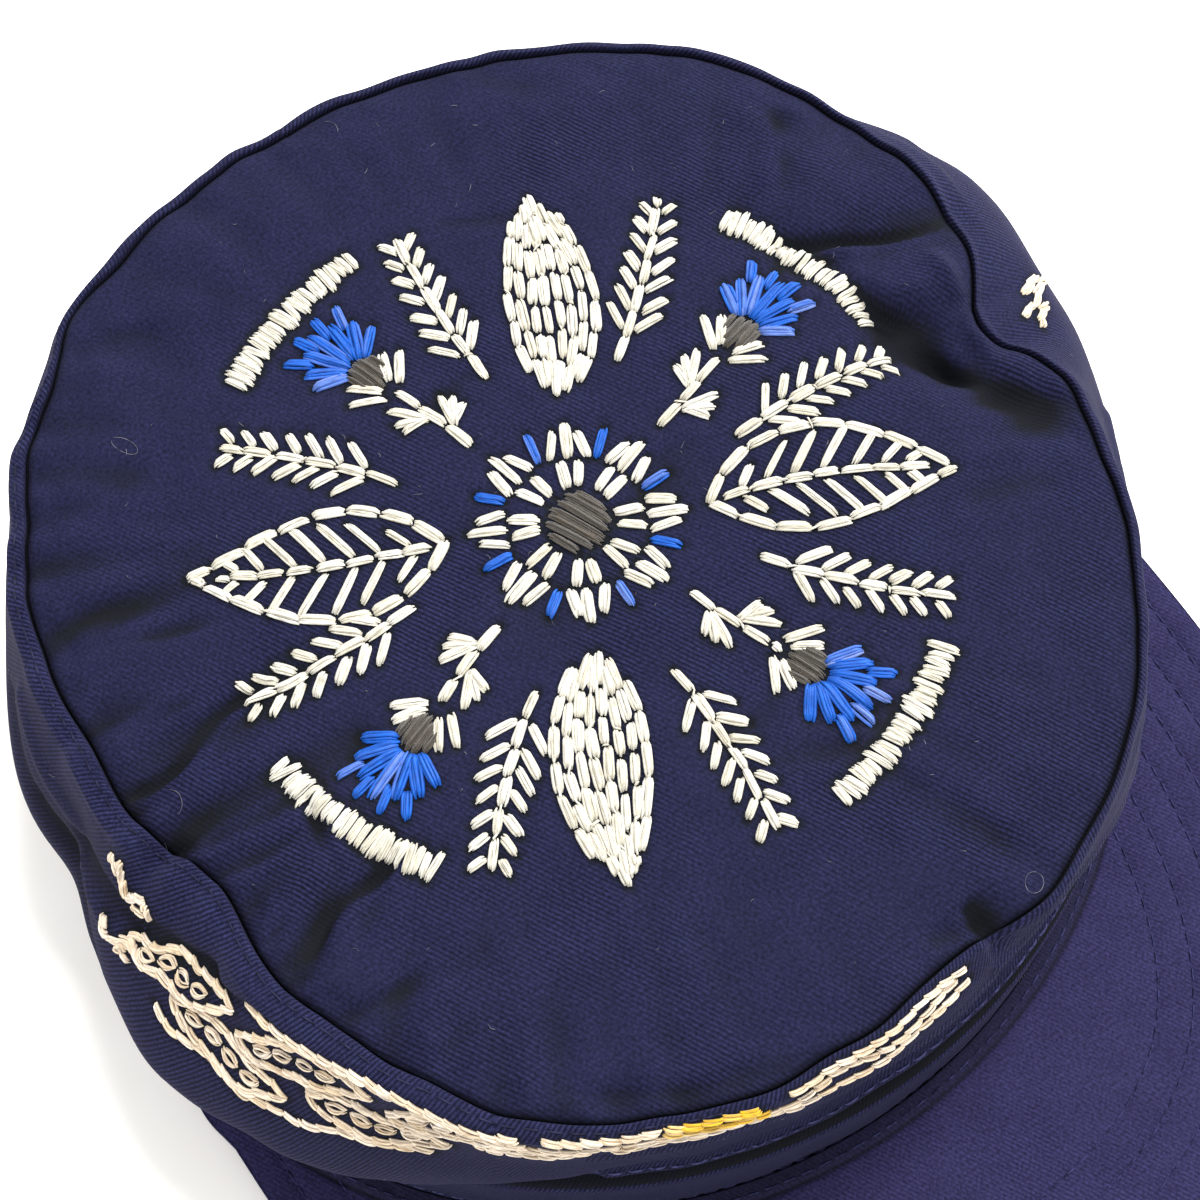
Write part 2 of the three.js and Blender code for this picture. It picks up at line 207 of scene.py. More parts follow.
# azimuth, width, rise: the raised edge of the top seam, measured from the groove and the top's edge
EDGE_COLUMNS = ("azimuth", "width", "rise")
EDGE_SECTIONS = np.array(
    [
        (-180, 2.4, 0.3),
        (-150, 2.3, 0.0),
        (-120, 3.4, 1.0),
        (-90, 4.8, 1.7),
        (-60, 4.8, 1.7),
        (-30, 2.8, 1.1),
        (0, 2.0, 0.6),
        (30, 1.8, 0.45),
        (60, 2.0, 0.45),
        (90, 1.9, 0.5),
        (120, 2.0, 0.45),
        (150, 2.3, 0.2),
    ]
)
EDGE_ROW = 1.1  # millimetres from the crest of the edge down to its row of stitches
EDGE_LIFT = 0.9  # from the rim of the crown's surface up to the height from which the edge is measured

# The top seam strays a little from its line, more so round one azimuth
RIM_WAVER = 0.3
SWELL_WAVER = 0.16
WIDTH_WAVER = 0.2
CREST_WAVER = 0.16
WAVER_LENGTH = 15
WAVER_AZIMUTH = -148

# Peak, as in the solids
PEAK_HALF_WIDTH = 102.0
PEAK_SHIFT = 3.0
PEAK_START_Y = -30.0
PEAK_TIP_Y = -155.0
PEAK_SQUARENESS = 2.5
PEAK_CORNER = 14.0
PEAK_THICKNESS = 3.0
PEAK_CLEARANCE = 0.6
PEAK_ARCH = 4.0

# The narrow strip of the peak beside the band, which comes closer to the band than the solid does
PEAK_JOIN = 0.05
FLANGE_WIDTH = 2.9
FLANGE_RISE = 0.5
FLANGE_ROW = 2.1

# Machine stitching
STITCH_ROW_COUNT = 6
STITCH_ROW_FIRST = 5.5
STITCH_ROW_PITCH = 6.35
SEAM_STITCH = 2.9
SEAM_STITCH_GAP = 0.5
SEAM_THREAD_RADIUS = 0.17
BAND_THREAD_RADIUS = 0.21
SEAM_ARCH = np.array([-0.14, 0.10, 0.17, 0.17, 0.10, -0.14])  # rise of the points of a stitch
WALL_ARCH = np.array([-0.1, 0.08, 0.14, 0.14, 0.08, -0.1])

# Twill
WALE_PITCH = 0.73
YARN_PITCH = 0.45
YARN_TURN = 62  # degrees between the wales and the yarns that break them
WAVE_TEXTURE_TURN = 20.0  # radians that the wave texture turns for each unit of its coordinate

# Fineness of the meshes
CROWN_AZIMUTHS = 560
CROWN_RINGS = 154
CROWN_EDGE_RINGS = 34  # those of them near the rim, which lie closer together
CROWN_UNDER_RINGS = 16
WALL_AZIMUTHS = 840
WALL_POINTS = 60
BAND_AZIMUTHS = 480
EDGE_STEPS = 20
PEAK_SECTIONS = 260
PEAK_CORNER_SECTIONS = 20
PEAK_ROWS = 112
PEAK_NEAR_ROWS = 22  # rows within the share of the peak that is nearest to the band
PEAK_NEAR_SHARE = 0.08


# Values round the cap


def direction(azimuth):
    turn = np.radians(azimuth)
    return np.stack([np.sin(turn), -np.cos(turn)], -1)


def turn_between(azimuth, other):
    return (np.asarray(azimuth) - other + 180) % 360 - 180


def travelled_along(line):
    """The length travelled at each point of a line."""
    return np.concatenate([[0], np.cumsum(np.linalg.norm(np.diff(line, axis=0), axis=1))])


def interpolated(at, places, line):
    """Points of a line at given places along it."""
    return np.stack([np.interp(at, places, line[:, k]) for k in range(line.shape[1])], -1)


def bell(distance):
    return np.exp(-np.square(distance))


def smooth_step(low, high, value):
    t = np.clip((value - low) / (high - low), 0, 1)
    return t * t * (3 - 2 * t)


def around(column, azimuth, table=WALL_SECTIONS, columns=SECTION_COLUMNS):
    """A column of a table of sections, interpolated smoothly round the whole turn."""
    values = table[:, columns.index(column)]
    count = len(values)
    place = ((np.asarray(azimuth, float) + 180) % 360) / (360 / count)
    row = np.floor(place).astype(int)
    along = place - row
    before, here, after, later = (values[(row + k) % count] for k in (-1, 0, 1, 2))
    slope_here = (after - before) / 2
    slope_next = (later - here) / 2
    rise = after - here
    curve = 3 * rise - 2 * slope_here - slope_next
    twist = slope_here + slope_next - 2 * rise
    return here + along * (slope_here + along * (curve + along * twist))


def rim_dent(kind, azimuth):
    """How far the rim is pushed in, or how far it falls, at its dents."""
    total = np.zeros_like(np.asarray(azimuth, float))
    for middle, span, push, fall in RIM_DENTS:
        amount = push if kind == "push" else fall
        total = total + amount * bell(turn_between(azimuth, middle) / span)
    return total


RIPPLE_WAVES = 7


def ripple(points, wavelength, seed):
    """Smooth noise of about -1 to 1 from a few waves in seeded directions."""
    draw = np.random.default_rng(seed)
    total = np.zeros(points.shape[:-1])
    for _ in range(RIPPLE_WAVES):
        way = draw.normal(size=3)
        way /= np.linalg.norm(way)
        length = wavelength * draw.uniform(0.7, 1.5)
        total += np.sin(points @ way * (2 * math.pi / length) + draw.uniform(0, 2 * math.pi))
    return total / math.sqrt(RIPPLE_WAVES)


def seam_waver(azimuth, seed):
    places = np.concatenate([direction(azimuth) * 90, np.zeros(np.shape(azimuth) + (1,))], -1)
    more = 1 + 1.6 * bell(turn_between(azimuth, WAVER_AZIMUTH) / 32)
    return ripple(places, WAVER_LENGTH, seed) * more


def rim_radius(azimuth):
    return around("rim", azimuth) - rim_dent("push", azimuth) + RIM_WAVER * seam_waver(azimuth, 71)


def band_radius(azimuth, inset=0.0):
    way = direction(azimuth)
    return 1 / np.hypot(way[..., 0] / (BAND_HALF_WIDTH - inset), way[..., 1] / (BAND_HALF_LENGTH - inset))


def run_distance(x, y, x0, y0, x1, y1):
    """Distance from points to the straight run between two points."""
    run = np.array([x1 - x0, y1 - y0], float)
    share = ((x - x0) * run[0] + (y - y0) * run[1]) / (run @ run)
    share = np.clip(share, 0, 1)
    return np.hypot(x - x0 - share * run[0], y - y0 - share * run[1])


# Crown surface


def curve_through(start, middle, end, count=11):
    """A smooth line from a start through a middle to an end."""
    start, middle, end = (np.array(point, float) for point in (start, middle, end))
    t = np.linspace(0, 1, count)[:, None]
    control = 2 * middle - (start + end) / 2
    return (1 - t) ** 2 * start + 2 * t * (1 - t) * control + t**2 * end


def beside_line(x, y, line):
    """How far places lie to the left of a line of points, and the share of its run that they are beside."""
    away = np.full(x.shape, np.inf)
    left = np.zeros(x.shape)
    along = np.zeros(x.shape)
    for k, (here, after) in enumerate(zip(line[:-1], line[1:])):
        run = after - here
        to_x, to_y = x - here[0], y - here[1]
        share = np.clip((to_x * run[0] + to_y * run[1]) / (run @ run), 0, 1)
        distance = np.hypot(to_x - share * run[0], to_y - share * run[1])
        nearer = distance < away
        away = np.where(nearer, distance, away)
        left = np.where(nearer, np.sign(run[0] * to_y - run[1] * to_x) * distance, left)
        along = np.where(nearer, (k + share) / (len(line) - 1), along)
    return left, along


def seam_puckers(x, y):
    """Small irregular folds that run in from the top seam, strongest at the cap's right side."""
    away_x, away_y = x, y - CROWN_CENTRE_Y
    azimuth = np.degrees(np.arctan2(away_x, -away_y))
    reach = np.hypot(away_x, away_y)
    radial = np.stack([azimuth * 1.5, reach * 0.28, np.zeros_like(x)], -1)
    right = 0.75 * bell(turn_between(azimuth, -88) / 40)
    left = 0.25 * bell(turn_between(azimuth, 95) / 30)
    strength = 0.12 + right + left
    return strength * ripple(radial, 8, 65) * smooth_step(58, 76, reach)


def furrow_depth(x, y):
    depth = seam_puckers(x, y)
    for x0, y0, x1, y1, width, deep in CROWN_FURROWS:
        depth += FURROW_SHARE * deep * bell(run_distance(x, y, x0, y0, x1, y1) / width)
    flat = np.stack([x, y, np.zeros_like(x)], -1)
    waver_x, waver_y = (FOLD_WAVER * ripple(flat, FOLD_WAVER_LENGTH, seed) for seed in (61, 62))
    strength = 0.7 + 0.5 * ripple(flat, 11, 63)
    for start, middle, end, width, deep, lip in CROWN_FOLDS:
        left, along = beside_line(x + waver_x, y + waver_y, curve_through(start, middle, end))
        fade = smooth_step(0, FOLD_FADE[0], along) * (1 - smooth_step(FOLD_FADE[1], 1, along)) * strength
        side = np.sign(lip) * left
        ridge = abs(lip) * bell((side - 1.5 * width) / (1.0 * width))
        reach = width * np.where(side > 0, 0.65, 1.25)
        depth += fade * (deep * bell(left / reach) - ridge)
    return depth


def crown_height(share, azimuth, x, y):
    flat = np.stack([x, y, np.zeros_like(x)], -1)
    drape = 0.32 * ripple(flat, 34, 5) + 0.14 * ripple(flat, 13, 6) + 0.05 * ripple(flat, 6, 7)
    swell = around("swell", azimuth) * (0.8 + SWELL_WAVER * seam_waver(azimuth, 72))
    return (
        RIM_HEIGHT
        + CROWN_RISE * (1 - share**4)
        - EDGE_ROUND * share**24
        - EDGE_DROP * share**170
        + swell * bell((share - 0.88) / 0.1)
        + EDGE_PUCKER * ripple(flat, 8, 64) * bell((share - 0.965) / 0.03)
        - rim_dent("fall", azimuth) * share**6
        - furrow_depth(x, y)
        + drape * (1 - share**8)
    )


def crown_points(share, azimuth):
    rim = direction(azimuth) * rim_radius(azimuth)[..., None]
    x = rim[..., 0] * share
    y = CROWN_CENTRE_Y + (rim[..., 1] - CROWN_CENTRE_Y) * share
    return np.stack([x, y, crown_height(share, azimuth, x, y)], -1)


TABLE_AZIMUTHS = np.linspace(-180, 180, 1441)
TABLE_RIM = direction(TABLE_AZIMUTHS) * rim_radius(TABLE_AZIMUTHS)[:, None] - (0, CROWN_CENTRE_Y)
TABLE_BEARING = np.unwrap(np.arctan2(TABLE_RIM[:, 0], -TABLE_RIM[:, 1]))
TABLE_REACH = np.hypot(TABLE_RIM[:, 0], TABLE_RIM[:, 1])


def crown_at(x, y):
    """The point of the crown's upper surface over x, y."""
    away_x, away_y = x, y - CROWN_CENTRE_Y
    bearing = np.arctan2(away_x, -away_y)
    azimuth = np.interp(bearing, TABLE_BEARING, TABLE_AZIMUTHS)
    share = np.hypot(away_x, away_y) / np.interp(bearing, TABLE_BEARING, TABLE_REACH)
    return np.stack([x, y, crown_height(np.minimum(share, 1), azimuth, x, y)], -1)


def crown_carrier(places):
    """Points and upward normals of the crown at places of x and y."""
    x, y = places[..., 0], places[..., 1]
    step = 0.4
    here = crown_at(x, y)
    along_x = crown_at(x + step, y) - here
    along_y = crown_at(x, y + step) - here
    normal = np.cross(along_x, along_y)
    return here, normal / np.linalg.norm(normal, axis=-1, keepdims=True)


# Wall surface


def spline_2d(knots, share):
    """Uniform Catmull-Rom through knots (count, ..., 2) at shares of the whole run."""
    last = len(knots) - 1
    place = share * last
    first = min(int(place), last - 1)
    t = place - first
    p0, p1 = knots[max(first - 1, 0)], knots[first]
    p2, p3 = knots[first + 1], knots[min(first + 2, last)]
    v0, v1 = (p2 - p0) / 2, (p3 - p1) / 2
    return (2 * p1 - 2 * p2 + v0 + v1) * t**3 + (-3 * p1 + 3 * p2 - 2 * v0 - v1) * t**2 + v0 * t + p1


def fold_push(azimuth, height):
    push = np.zeros_like(height)
    for middle, middle_height, span, tall, deep in WALL_FOLDS:
        turn = turn_between(azimuth, middle) / span
        push = push + deep * bell(np.hypot(turn, (height - middle_height) / tall))
    return push


def crease_push(azimuth, height):
    push = np.zeros_like(height)
    arc = math.radians(1) * CLOTH_RADIUS
    for a0, z0, a1, z1, width, deep in WALL_CREASES:
        x = turn_between(azimuth, a0) * arc
        push = push + deep * bell(run_distance(x, height, 0, z0, (a1 - a0) * arc, z1) / width)
    return push


def wall_push(azimuth, height):
    return fold_push(azimuth, height) + crease_push(azimuth, height)


def knot(radius, height):
    return np.stack(np.broadcast_arrays(radius, height), -1).astype(float)


def rim_edge(azimuth):
    return crown_points(np.ones_like(azimuth), azimuth)[..., 2] + EDGE_LIFT


def wall_outside(azimuth):
    """The wall's outer line at each azimuth, from the band up over the seam's edge into the groove."""
    rim = rim_radius(azimuth)
    edge = rim_edge(azimuth)
    width = around("width", azimuth, EDGE_SECTIONS, EDGE_COLUMNS) + WIDTH_WAVER * seam_waver(azimuth, 73)
    rise = around("rise", azimuth, EDGE_SECTIONS, EDGE_COLUMNS) + CREST_WAVER * seam_waver(azimuth, 74)
    crest = edge + rise
    guide = [
        knot(band_radius(azimuth) - BAND_EDGE_ROUND, BAND_HEIGHT + GAP),
        knot(around("waist", azimuth), WAIST_HEIGHT),
        knot(around("belly", azimuth), BELLY_HEIGHT),
        knot(around("shoulder", azimuth), SHOULDER_HEIGHT),
        knot(rim + width, crest - 1.3),
    ]
    rows = []
    for i in range(WALL_POINTS + 1):
        share = i / WALL_POINTS
        point = spline_2d(guide, share)
        free = smooth_step(0, 0.1, share) * (1 - smooth_step(0.9, 1, share))
        point[..., 0] += free * wall_push(azimuth, point[..., 1])
        rows.append(point)
    edge_knots = [
        knot(rim + width, crest - 1.3),
        knot(rim + width * 0.82, crest - 0.55),
        knot(rim + width * 0.5, crest - 0.1),
        knot(rim + GAP + 0.2, crest - 0.15),
        knot(rim + GAP, edge - CLOTH - GAP),
    ]
    for i in range(1, EDGE_STEPS + 1):
        rows.append(spline_2d(edge_knots, i / EDGE_STEPS))
    return np.stack(rows, 1)


def level_ring(azimuth, radius, height):
    return np.concatenate([direction(azimuth) * radius[:, None], np.full((len(azimuth), 1), height)], -1)


def stand(azimuth, outline):
    """Turns [radius, height] pairs at each azimuth into points."""
    way = direction(azimuth)[:, None, :] * outline[..., :1]
    return np.concatenate([way, outline[..., 1:]], -1)


def wall_surface(azimuth):
    points = stand(azimuth, wall_outside(azimuth))
    outward = np.concatenate([direction(azimuth), np.zeros((len(azimuth), 1))], -1)[:, None, :]
    low = smooth_step(29, 36, points[..., 2]) * (1 - smooth_step(73, 77, points[..., 2]))
    drape = 0.5 * ripple(points, 42, 8) + 0.22 * ripple(points, 15, 9)
    return points + outward * (low * drape)[..., None]


class WallCarrier:
    """Finds the wall's outer surface by azimuth and by the length down from the crest of the seam's edge."""

    CREST_BACK = EDGE_STEPS // 3  # outline points between the crest and the groove's bottom
    COLUMNS = 720
    ROWS = 240
    LENGTH = 60.0

    def __init__(self):
        outer = wall_surface(np.linspace(-180, 180, self.COLUMNS + 1))
        lines = outer[:, : -self.CREST_BACK][:, ::-1]
        steps = np.linalg.norm(np.diff(lines, axis=1), axis=-1)
        down = np.concatenate([np.zeros((len(lines), 1)), np.cumsum(steps, 1)], 1)
        even = np.linspace(0, self.LENGTH, self.ROWS + 1)
        self.grid = np.stack([interpolated(even, d, line) for d, line in zip(down, lines)])

    def at(self, azimuth, down):
        u = np.clip((azimuth + 180) / 360 * self.COLUMNS, 0, self.COLUMNS - 0.001)
        v = np.clip(down / self.LENGTH * self.ROWS, 0, self.ROWS - 0.001)
        i, j = u.astype(int), v.astype(int)
        a, b = (u - i)[..., None], (v - j)[..., None]
        low = self.grid[i, j] * (1 - a) + self.grid[i + 1, j] * a
        high = self.grid[i, j + 1] * (1 - a) + self.grid[i + 1, j + 1] * a
        return low * (1 - b) + high * b

    def __call__(self, places):
        azimuth, down = places[..., 0], places[..., 1]
        here = self.at(azimuth, down)
        along = self.at(azimuth + 0.5, down) - self.at(azimuth - 0.5, down)
        lower = self.at(azimuth, down + 0.6) - self.at(azimuth, np.maximum(down - 0.6, 0))
        normal = np.cross(lower, along)
        return here, normal / np.linalg.norm(normal, axis=-1, keepdims=True)


# Meshes

band_low, band_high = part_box("head_band")
ORIGIN = np.array([(band_low.x + band_high.x) / 2, (band_low.y + band_high.y) / 2, band_low.z])


def to_frame(points):
    return points * MM + ORIGIN


def placed(name, data):
    """A new object in the scene."""
    made = bpy.data.objects.new(name, data)
    bpy.context.scene.collection.objects.link(made)
    return made


def mesh_object(name, points, faces, material):
    """A mesh from points in millimetres and an array of triangles or quads."""
    mesh = bpy.data.meshes.new(name)
    count, corners = faces.shape
    mesh.vertices.add(len(points))
    mesh.vertices.foreach_set("co", to_frame(points).astype(np.float32).ravel())
    mesh.loops.add(count * corners)
    mesh.loops.foreach_set("vertex_index", faces.astype(np.int32).ravel())
    mesh.polygons.add(count)
    mesh.polygons.foreach_set("loop_start", np.arange(0, count * corners, corners, dtype=np.int32))
    mesh.polygons.foreach_set("use_smooth", np.ones(count, bool))
    mesh.update(calc_edges=True)
    mesh.validate()
    mesh.materials.append(material)
    piece = placed(name, mesh)
    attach(piece, BODY)
    return piece


def set_uv(piece, corner_uv, name="cloth"):
    layer = piece.data.uv_layers.new(name=name)
    layer.data.foreach_set("uv", corner_uv.astype(np.float32).ravel())


def set_values(piece, name, values):
    """A number for each point of the mesh, which its material reads."""
    attribute = piece.data.attributes.new(name, "FLOAT", "POINT")
    attribute.data.foreach_set("value", np.asarray(values).astype(np.float32).ravel())


def ring_faces(sections, size):
    """Quads of a closed ring of closed loops, and the same with unwrapped indices for the UVs."""
    i, j = np.meshgrid(np.arange(sections), np.arange(size), indexing="ij")
    corners = [(i, j), (i + 1, j), (i + 1, j + 1), (i, j + 1)]
    faces = np.stack([(a % sections) * size + b % size for a, b in corners], -1)
    places = np.stack([np.stack([a, b], -1) for a, b in corners], -2)
    return faces.reshape(-1, 4), places.reshape(-1, 4, 2)


def ring_piece(name, loops, material):
    """A closed body from loops round the cap. UVs are millimetres round it and along the loop."""
    sections, size = loops.shape[:2]
    faces, places = ring_faces(sections, size)
    piece = mesh_object(name, loops.reshape(-1, 3), faces, material)
    closed = np.concatenate([loops, loops[:, :1]], 1)
    lengths = np.linalg.norm(np.diff(closed, axis=1), axis=-1)
    along = np.concatenate([np.zeros((sections, 1)), np.cumsum(lengths, 1)], 1)
    u = places[..., 0] * (2 * math.pi * CLOTH_RADIUS / sections)
    v = along[places[..., 0] % sections, places[..., 1]]
    set_uv(piece, np.stack([u, v], -1))
    return piece


def azimuth_steps(count):
    return -180 + np.arange(count) * (360 / count)


STITCH_MARKS = 7  # places along each hand stitch where the cloth feels it
PUCKER_DEPTH = 0.22
PUCKER_REACH = 1.5
HOLE_DEPTH = 0.35
HOLE_REACH = 0.75
SHADE_REACH = 1.15


def nearest(points, marks):
    """Distance from each point to the nearest mark."""
    tree = KDTree(len(marks))
    for i, mark in enumerate(marks):
        tree.insert(mark, i)
    tree.balance()
    flat = points.reshape(-1, 3)
    return np.array([tree.find(point)[2] for point in flat]).reshape(points.shape[:-1])


def stitch_marks(rows, carrier, shares):
    ends = np.array([(row[0], row[1]) for row in rows], float)
    shares = np.asarray(shares, float)[:, None]
    places = ends[:, None, 0] * (1 - shares) + ends[:, None, 1] * shares
    return carrier(places)[0].reshape(-1, 3)


def drawn_in(points, rows, carrier):
    """How far the cloth is pulled in by hand stitches, and how much it is shaded beside them."""
    along = nearest(points, stitch_marks(rows, carrier, np.linspace(0, 1, STITCH_MARKS)))
    hole = nearest(points, stitch_marks(rows, carrier, (0.0, 1.0)))
    pull = PUCKER_DEPTH * bell(along / PUCKER_REACH) + HOLE_DEPTH * bell(hole / HOLE_REACH)
    shade = 0.85 * bell(along / SHADE_REACH) + 0.5 * bell(hole / HOLE_REACH)
    return pull, shade


# reach, and the depth below the cloth at that reach that counts as fully hollow
HOLLOW_SCALES = ((2.4, 1.7), (7.0, 4.2))
HOLLOW_BROAD = 6.0  # millimetres of furrow that count as fully hollow by their depth alone


def crown_hollow(x, y):
    """How far the crown lies below the cloth round about: above zero in folds, below zero on ridges. The
    cloth's colour takes it as painted shade in folds and a painted highlight on ridges.
    """
    here = furrow_depth(x, y)
    bearings = np.radians(np.arange(0, 360, 60))
    total = here / HOLLOW_BROAD
    for reach, scale in HOLLOW_SCALES:
        beside = sum(furrow_depth(x + reach * np.sin(b), y + reach * np.cos(b)) for b in bearings)
        total = total + (here - beside / len(bearings)) / scale
    return total


WALES_FADE = (38.0, 68.0)  # millimetres from the middle, up in the picture, over which the wales fade
NAP_WAY = np.array([-0.3, 0.954])


def crown_wales(x, y):
    """How clearly the wales show: the nap hides them towards the back."""
    flat = np.stack([x, y, np.zeros_like(x)], -1)
    towards = x * NAP_WAY[0] + (y - CROWN_CENTRE_Y) * NAP_WAY[1] + 7 * ripple(flat, 40, 75)
    worn = 0.82 + 0.18 * ripple(flat, 26, 76)
    return worn * (1 - 0.85 * smooth_step(*WALES_FADE, towards))


def lowest_between(shares, heights, under_shares):
    """For each under ring, the lowest height of the upper rings up to its neighbours."""
    marks = np.concatenate([[1.0], under_shares, [0.0]])
    rows = []
    for k in range(1, len(marks) - 1):
        window = (shares <= marks[k - 1] + 0.01) & (shares >= marks[k + 1] - 0.01)
        rows.append(heights[window].min(0))
    return np.stack(rows)


def crown_rings(azimuths, stitches):
    """Rings of the crown's cloth, out along its face and back below it, and how hollow the face is, which
    paints shade into its colour.
    """
    inner = np.linspace(0.012, 0.9, CROWN_RINGS - CROWN_EDGE_RINGS)
    outer = np.linspace(0.9, 1, CROWN_EDGE_RINGS + 1)[1:]
    shares = np.concatenate([inner, outer])
    upper = np.stack([crown_points(np.full_like(azimuths, s), azimuths) for s in shares])
    pull, shade = drawn_in(upper, stitches, crown_carrier)
    hollow = np.clip(crown_hollow(upper[..., 0], upper[..., 1]), -0.8, 1)
    # painted shade beside the stitches and in the groove at the rim
    hollow = np.maximum(hollow + shade, np.exp((shares - 1) * 160)[:, None])
    upper[..., 2] -= pull
    lower_edge = upper[-1:] - (0, 0, CLOTH)
    under_shares = np.linspace(0.97, 0.05, CROWN_UNDER_RINGS)
    under = np.stack([crown_points(np.full_like(azimuths, s), azimuths) for s in under_shares])
    under[..., 2] = lowest_between(shares, upper[..., 2], under_shares) - CLOTH
    return np.concatenate([upper, lower_edge, under]), hollow


def capped_faces(count, size):
    """Triangles of a body of rings, whose two middle points follow the points of the rings."""
    i, j = np.meshgrid(np.arange(count - 1), np.arange(size), indexing="ij")
    after = (j + 1) % size
    quads = np.stack([i * size + j, (i + 1) * size + j, (i + 1) * size + after, i * size + after], -1)
    quads = quads.reshape(-1, 4)
    here = np.arange(size)
    there = (here + 1) % size
    last = (count - 1) * size
    first_cap = np.stack([np.full(size, count * size), here, there], -1)
    last_cap = np.stack([np.full(size, count * size + 1), last + there, last + here], -1)
    return np.concatenate([quads[:, [0, 1, 2]], quads[:, [0, 2, 3]], first_cap, last_cap])


def crown_top_piece(material, stitches):
    rings, hollow = crown_rings(azimuth_steps(CROWN_AZIMUTHS), stitches)
    count, size = rings.shape[:2]
    centre = crown_at(np.zeros(1), np.full(1, CROWN_CENTRE_Y))
    points = np.concatenate([rings.reshape(-1, 3), centre, centre - (0, 0, CLOTH)])
    faces = capped_faces(count, size)
    piece = mesh_object("crown_top_cloth", points, faces, material)
    set_uv(piece, points[faces][..., :2])
    values = np.zeros(len(points))
    values[: hollow.size] = hollow.ravel()
    values[count * size] = hollow[0].mean()
    set_values(piece, "hollow", values)
    set_values(piece, "wales", crown_wales(points[:, 0], points[:, 1]))
    return piece


CREASE_HOLLOW = 2.2  # millimetres of inward push that count as fully hollow in a sharp crease
FOLD_HOLLOW = 12.0  # and in a broad fold
EDGE_HIGHLIGHT = 0.7  # how much paler the colour is painted along the seam's edge as a painted highlight, where the edge is widest
EDGE_WIDEST = -85  # azimuth at which the edge is widest
FOOT_DARKEST = 15  # azimuth at which the painted shade at the wall's foot is darkest


def wall_hollow(azimuths, outside):
    """Painted shade for the wall's outer surface, by how hollow it is: in its creases, at its foot and in
    the top seam's groove, with a painted highlight along the seam's edge.
    """
    height = outside[..., 2]
    inward = -crease_push(azimuths[:, None], height) / CREASE_HOLLOW
    inward = np.clip(inward - fold_push(azimuths[:, None], height) / FOLD_HOLLOW, -0.15, 1)
    along_edge = (np.arange(outside.shape[1]) - WALL_POINTS) / EDGE_STEPS
    groove = smooth_step(0.8, 0.95, along_edge)
    # painted highlight along the crest of the seam's edge, given as negative hollow values
    edge_highlight = EDGE_HIGHLIGHT * (0.3 + 0.7 * bell(turn_between(azimuths, EDGE_WIDEST) / 50))
    inward = inward * (along_edge < 0) - edge_highlight[:, None] * bell((along_edge - 0.2) / 0.5)
    deep = 0.5 + 0.6 * bell(turn_between(azimuths, FOOT_DARKEST) / 75)
    foot = deep[:, None] * (1 - smooth_step(BAND_HEIGHT + 1.6, BAND_HEIGHT + 3.4, height))
    dark = np.maximum(groove[None], foot)
    return inward * (1 - np.minimum(dark, 1)) + dark


def crown_wall_piece(material, stitches, carrier):
    azimuths = azimuth_steps(WALL_AZIMUTHS)
    outside = wall_surface(azimuths)
    hollow = wall_hollow(azimuths, outside)
    hollow = hollow + drawn_in(outside, stitches, carrier)[1]
    ledge = crown_points(np.full_like(azimuths, LEDGE_SHARE), azimuths)[:, None] - (0, 0, CLOTH + GAP)
    ledge_low = ledge - (0, 0, CLOTH)
    rim = rim_radius(azimuths)
    edge = rim_edge(azimuths)
    turn_in = stand(azimuths, knot(rim - 0.6, edge - 2 * CLOTH - GAP)[:, None])
    inner_rows = outside[:, 2 : WALL_POINTS - 5 : 5][:, ::-1]
    way = np.concatenate([direction(azimuths), np.zeros((len(azimuths), 1))], -1)[:, None]
    inner_rows = inner_rows - way * CLOTH
    foot = outside[:, :1] - way * CLOTH
    loops = np.concatenate([outside, ledge, ledge_low, turn_in, inner_rows, foot], 1)
    piece = ring_piece("crown_wall_cloth", loops, material)
    values = np.zeros(loops.shape[:2])
    values[:, : outside.shape[1]] = hollow
    set_values(piece, "hollow", values)
    set_values(piece, "wales", np.ones(loops.shape[:2]))
    return piece


BAND_PROFILE = [
    # inset from the outer face, height
    (0.5, 0.0),
    (0.15, 0.3),
    (0.0, 1.0),
    (0.0, 3.0),
    (0.05, 5.0),
    (0.25, 6.6),
    (0.5, 7.0),
    (0.25, 7.4),
    (0.05, 9.0),
    (0.0, 12.0),
    (0.0, 16.0),
    (0.0, 20.0),
    (0.0, 24.0),
    (0.05, 26.3),
    (0.15, 27.4),
    (0.5, 27.9),
    (1.2, 28.0),
    (2.2, 27.8),
    (2.4, 26.0),
    (2.4, 20.0),
    (2.4, 12.0),
    (2.4, 4.0),
    (2.4, 0.6),
    (2.0, 0.0),
]
BAND_ROW = 7.0  # height of the row of stitches
BAND_WAVE = 0.18  # how far the middle of the outer face sags inwards


def band_loops(azimuths):
    rings = [level_ring(azimuths, band_radius(azimuths, inset), height) for inset, height in BAND_PROFILE]
    loops = np.stack(rings, 1)
    height = loops[..., 2]
    middle = smooth_step(1, 6, height) * (1 - smooth_step(22, 27, height))
    wave = BAND_WAVE * ripple(loops, 22, 12) * middle
    loops[..., :2] -= direction(azimuths)[:, None] * np.abs(wave)[..., None]
    return loops


def head_band_piece(material):
    loops = band_loops(azimuth_steps(BAND_AZIMUTHS))
    piece = ring_piece("head_band_cloth", loops, material)
    set_values(piece, "wales", np.ones(loops.shape[:2]))
    return piece


# Peak


def peak_outline(count):
    turn = np.radians(90 - np.linspace(0, 180, 1441))
    x = np.sin(turn)
    y = -np.cos(turn)
    across = np.sign(x) * np.abs(x) ** (2 / PEAK_SQUARENESS)
    forward = np.abs(y) ** (2 / PEAK_SQUARENESS)
    reach = PEAK_TIP_Y - PEAK_START_Y
    edge = np.stack([PEAK_SHIFT + PEAK_HALF_WIDTH * across, PEAK_START_Y + reach * forward], -1)
    travelled = travelled_along(edge)
    even = np.linspace(0, travelled[-1], count + 1)
    return interpolated(even, travelled, edge)


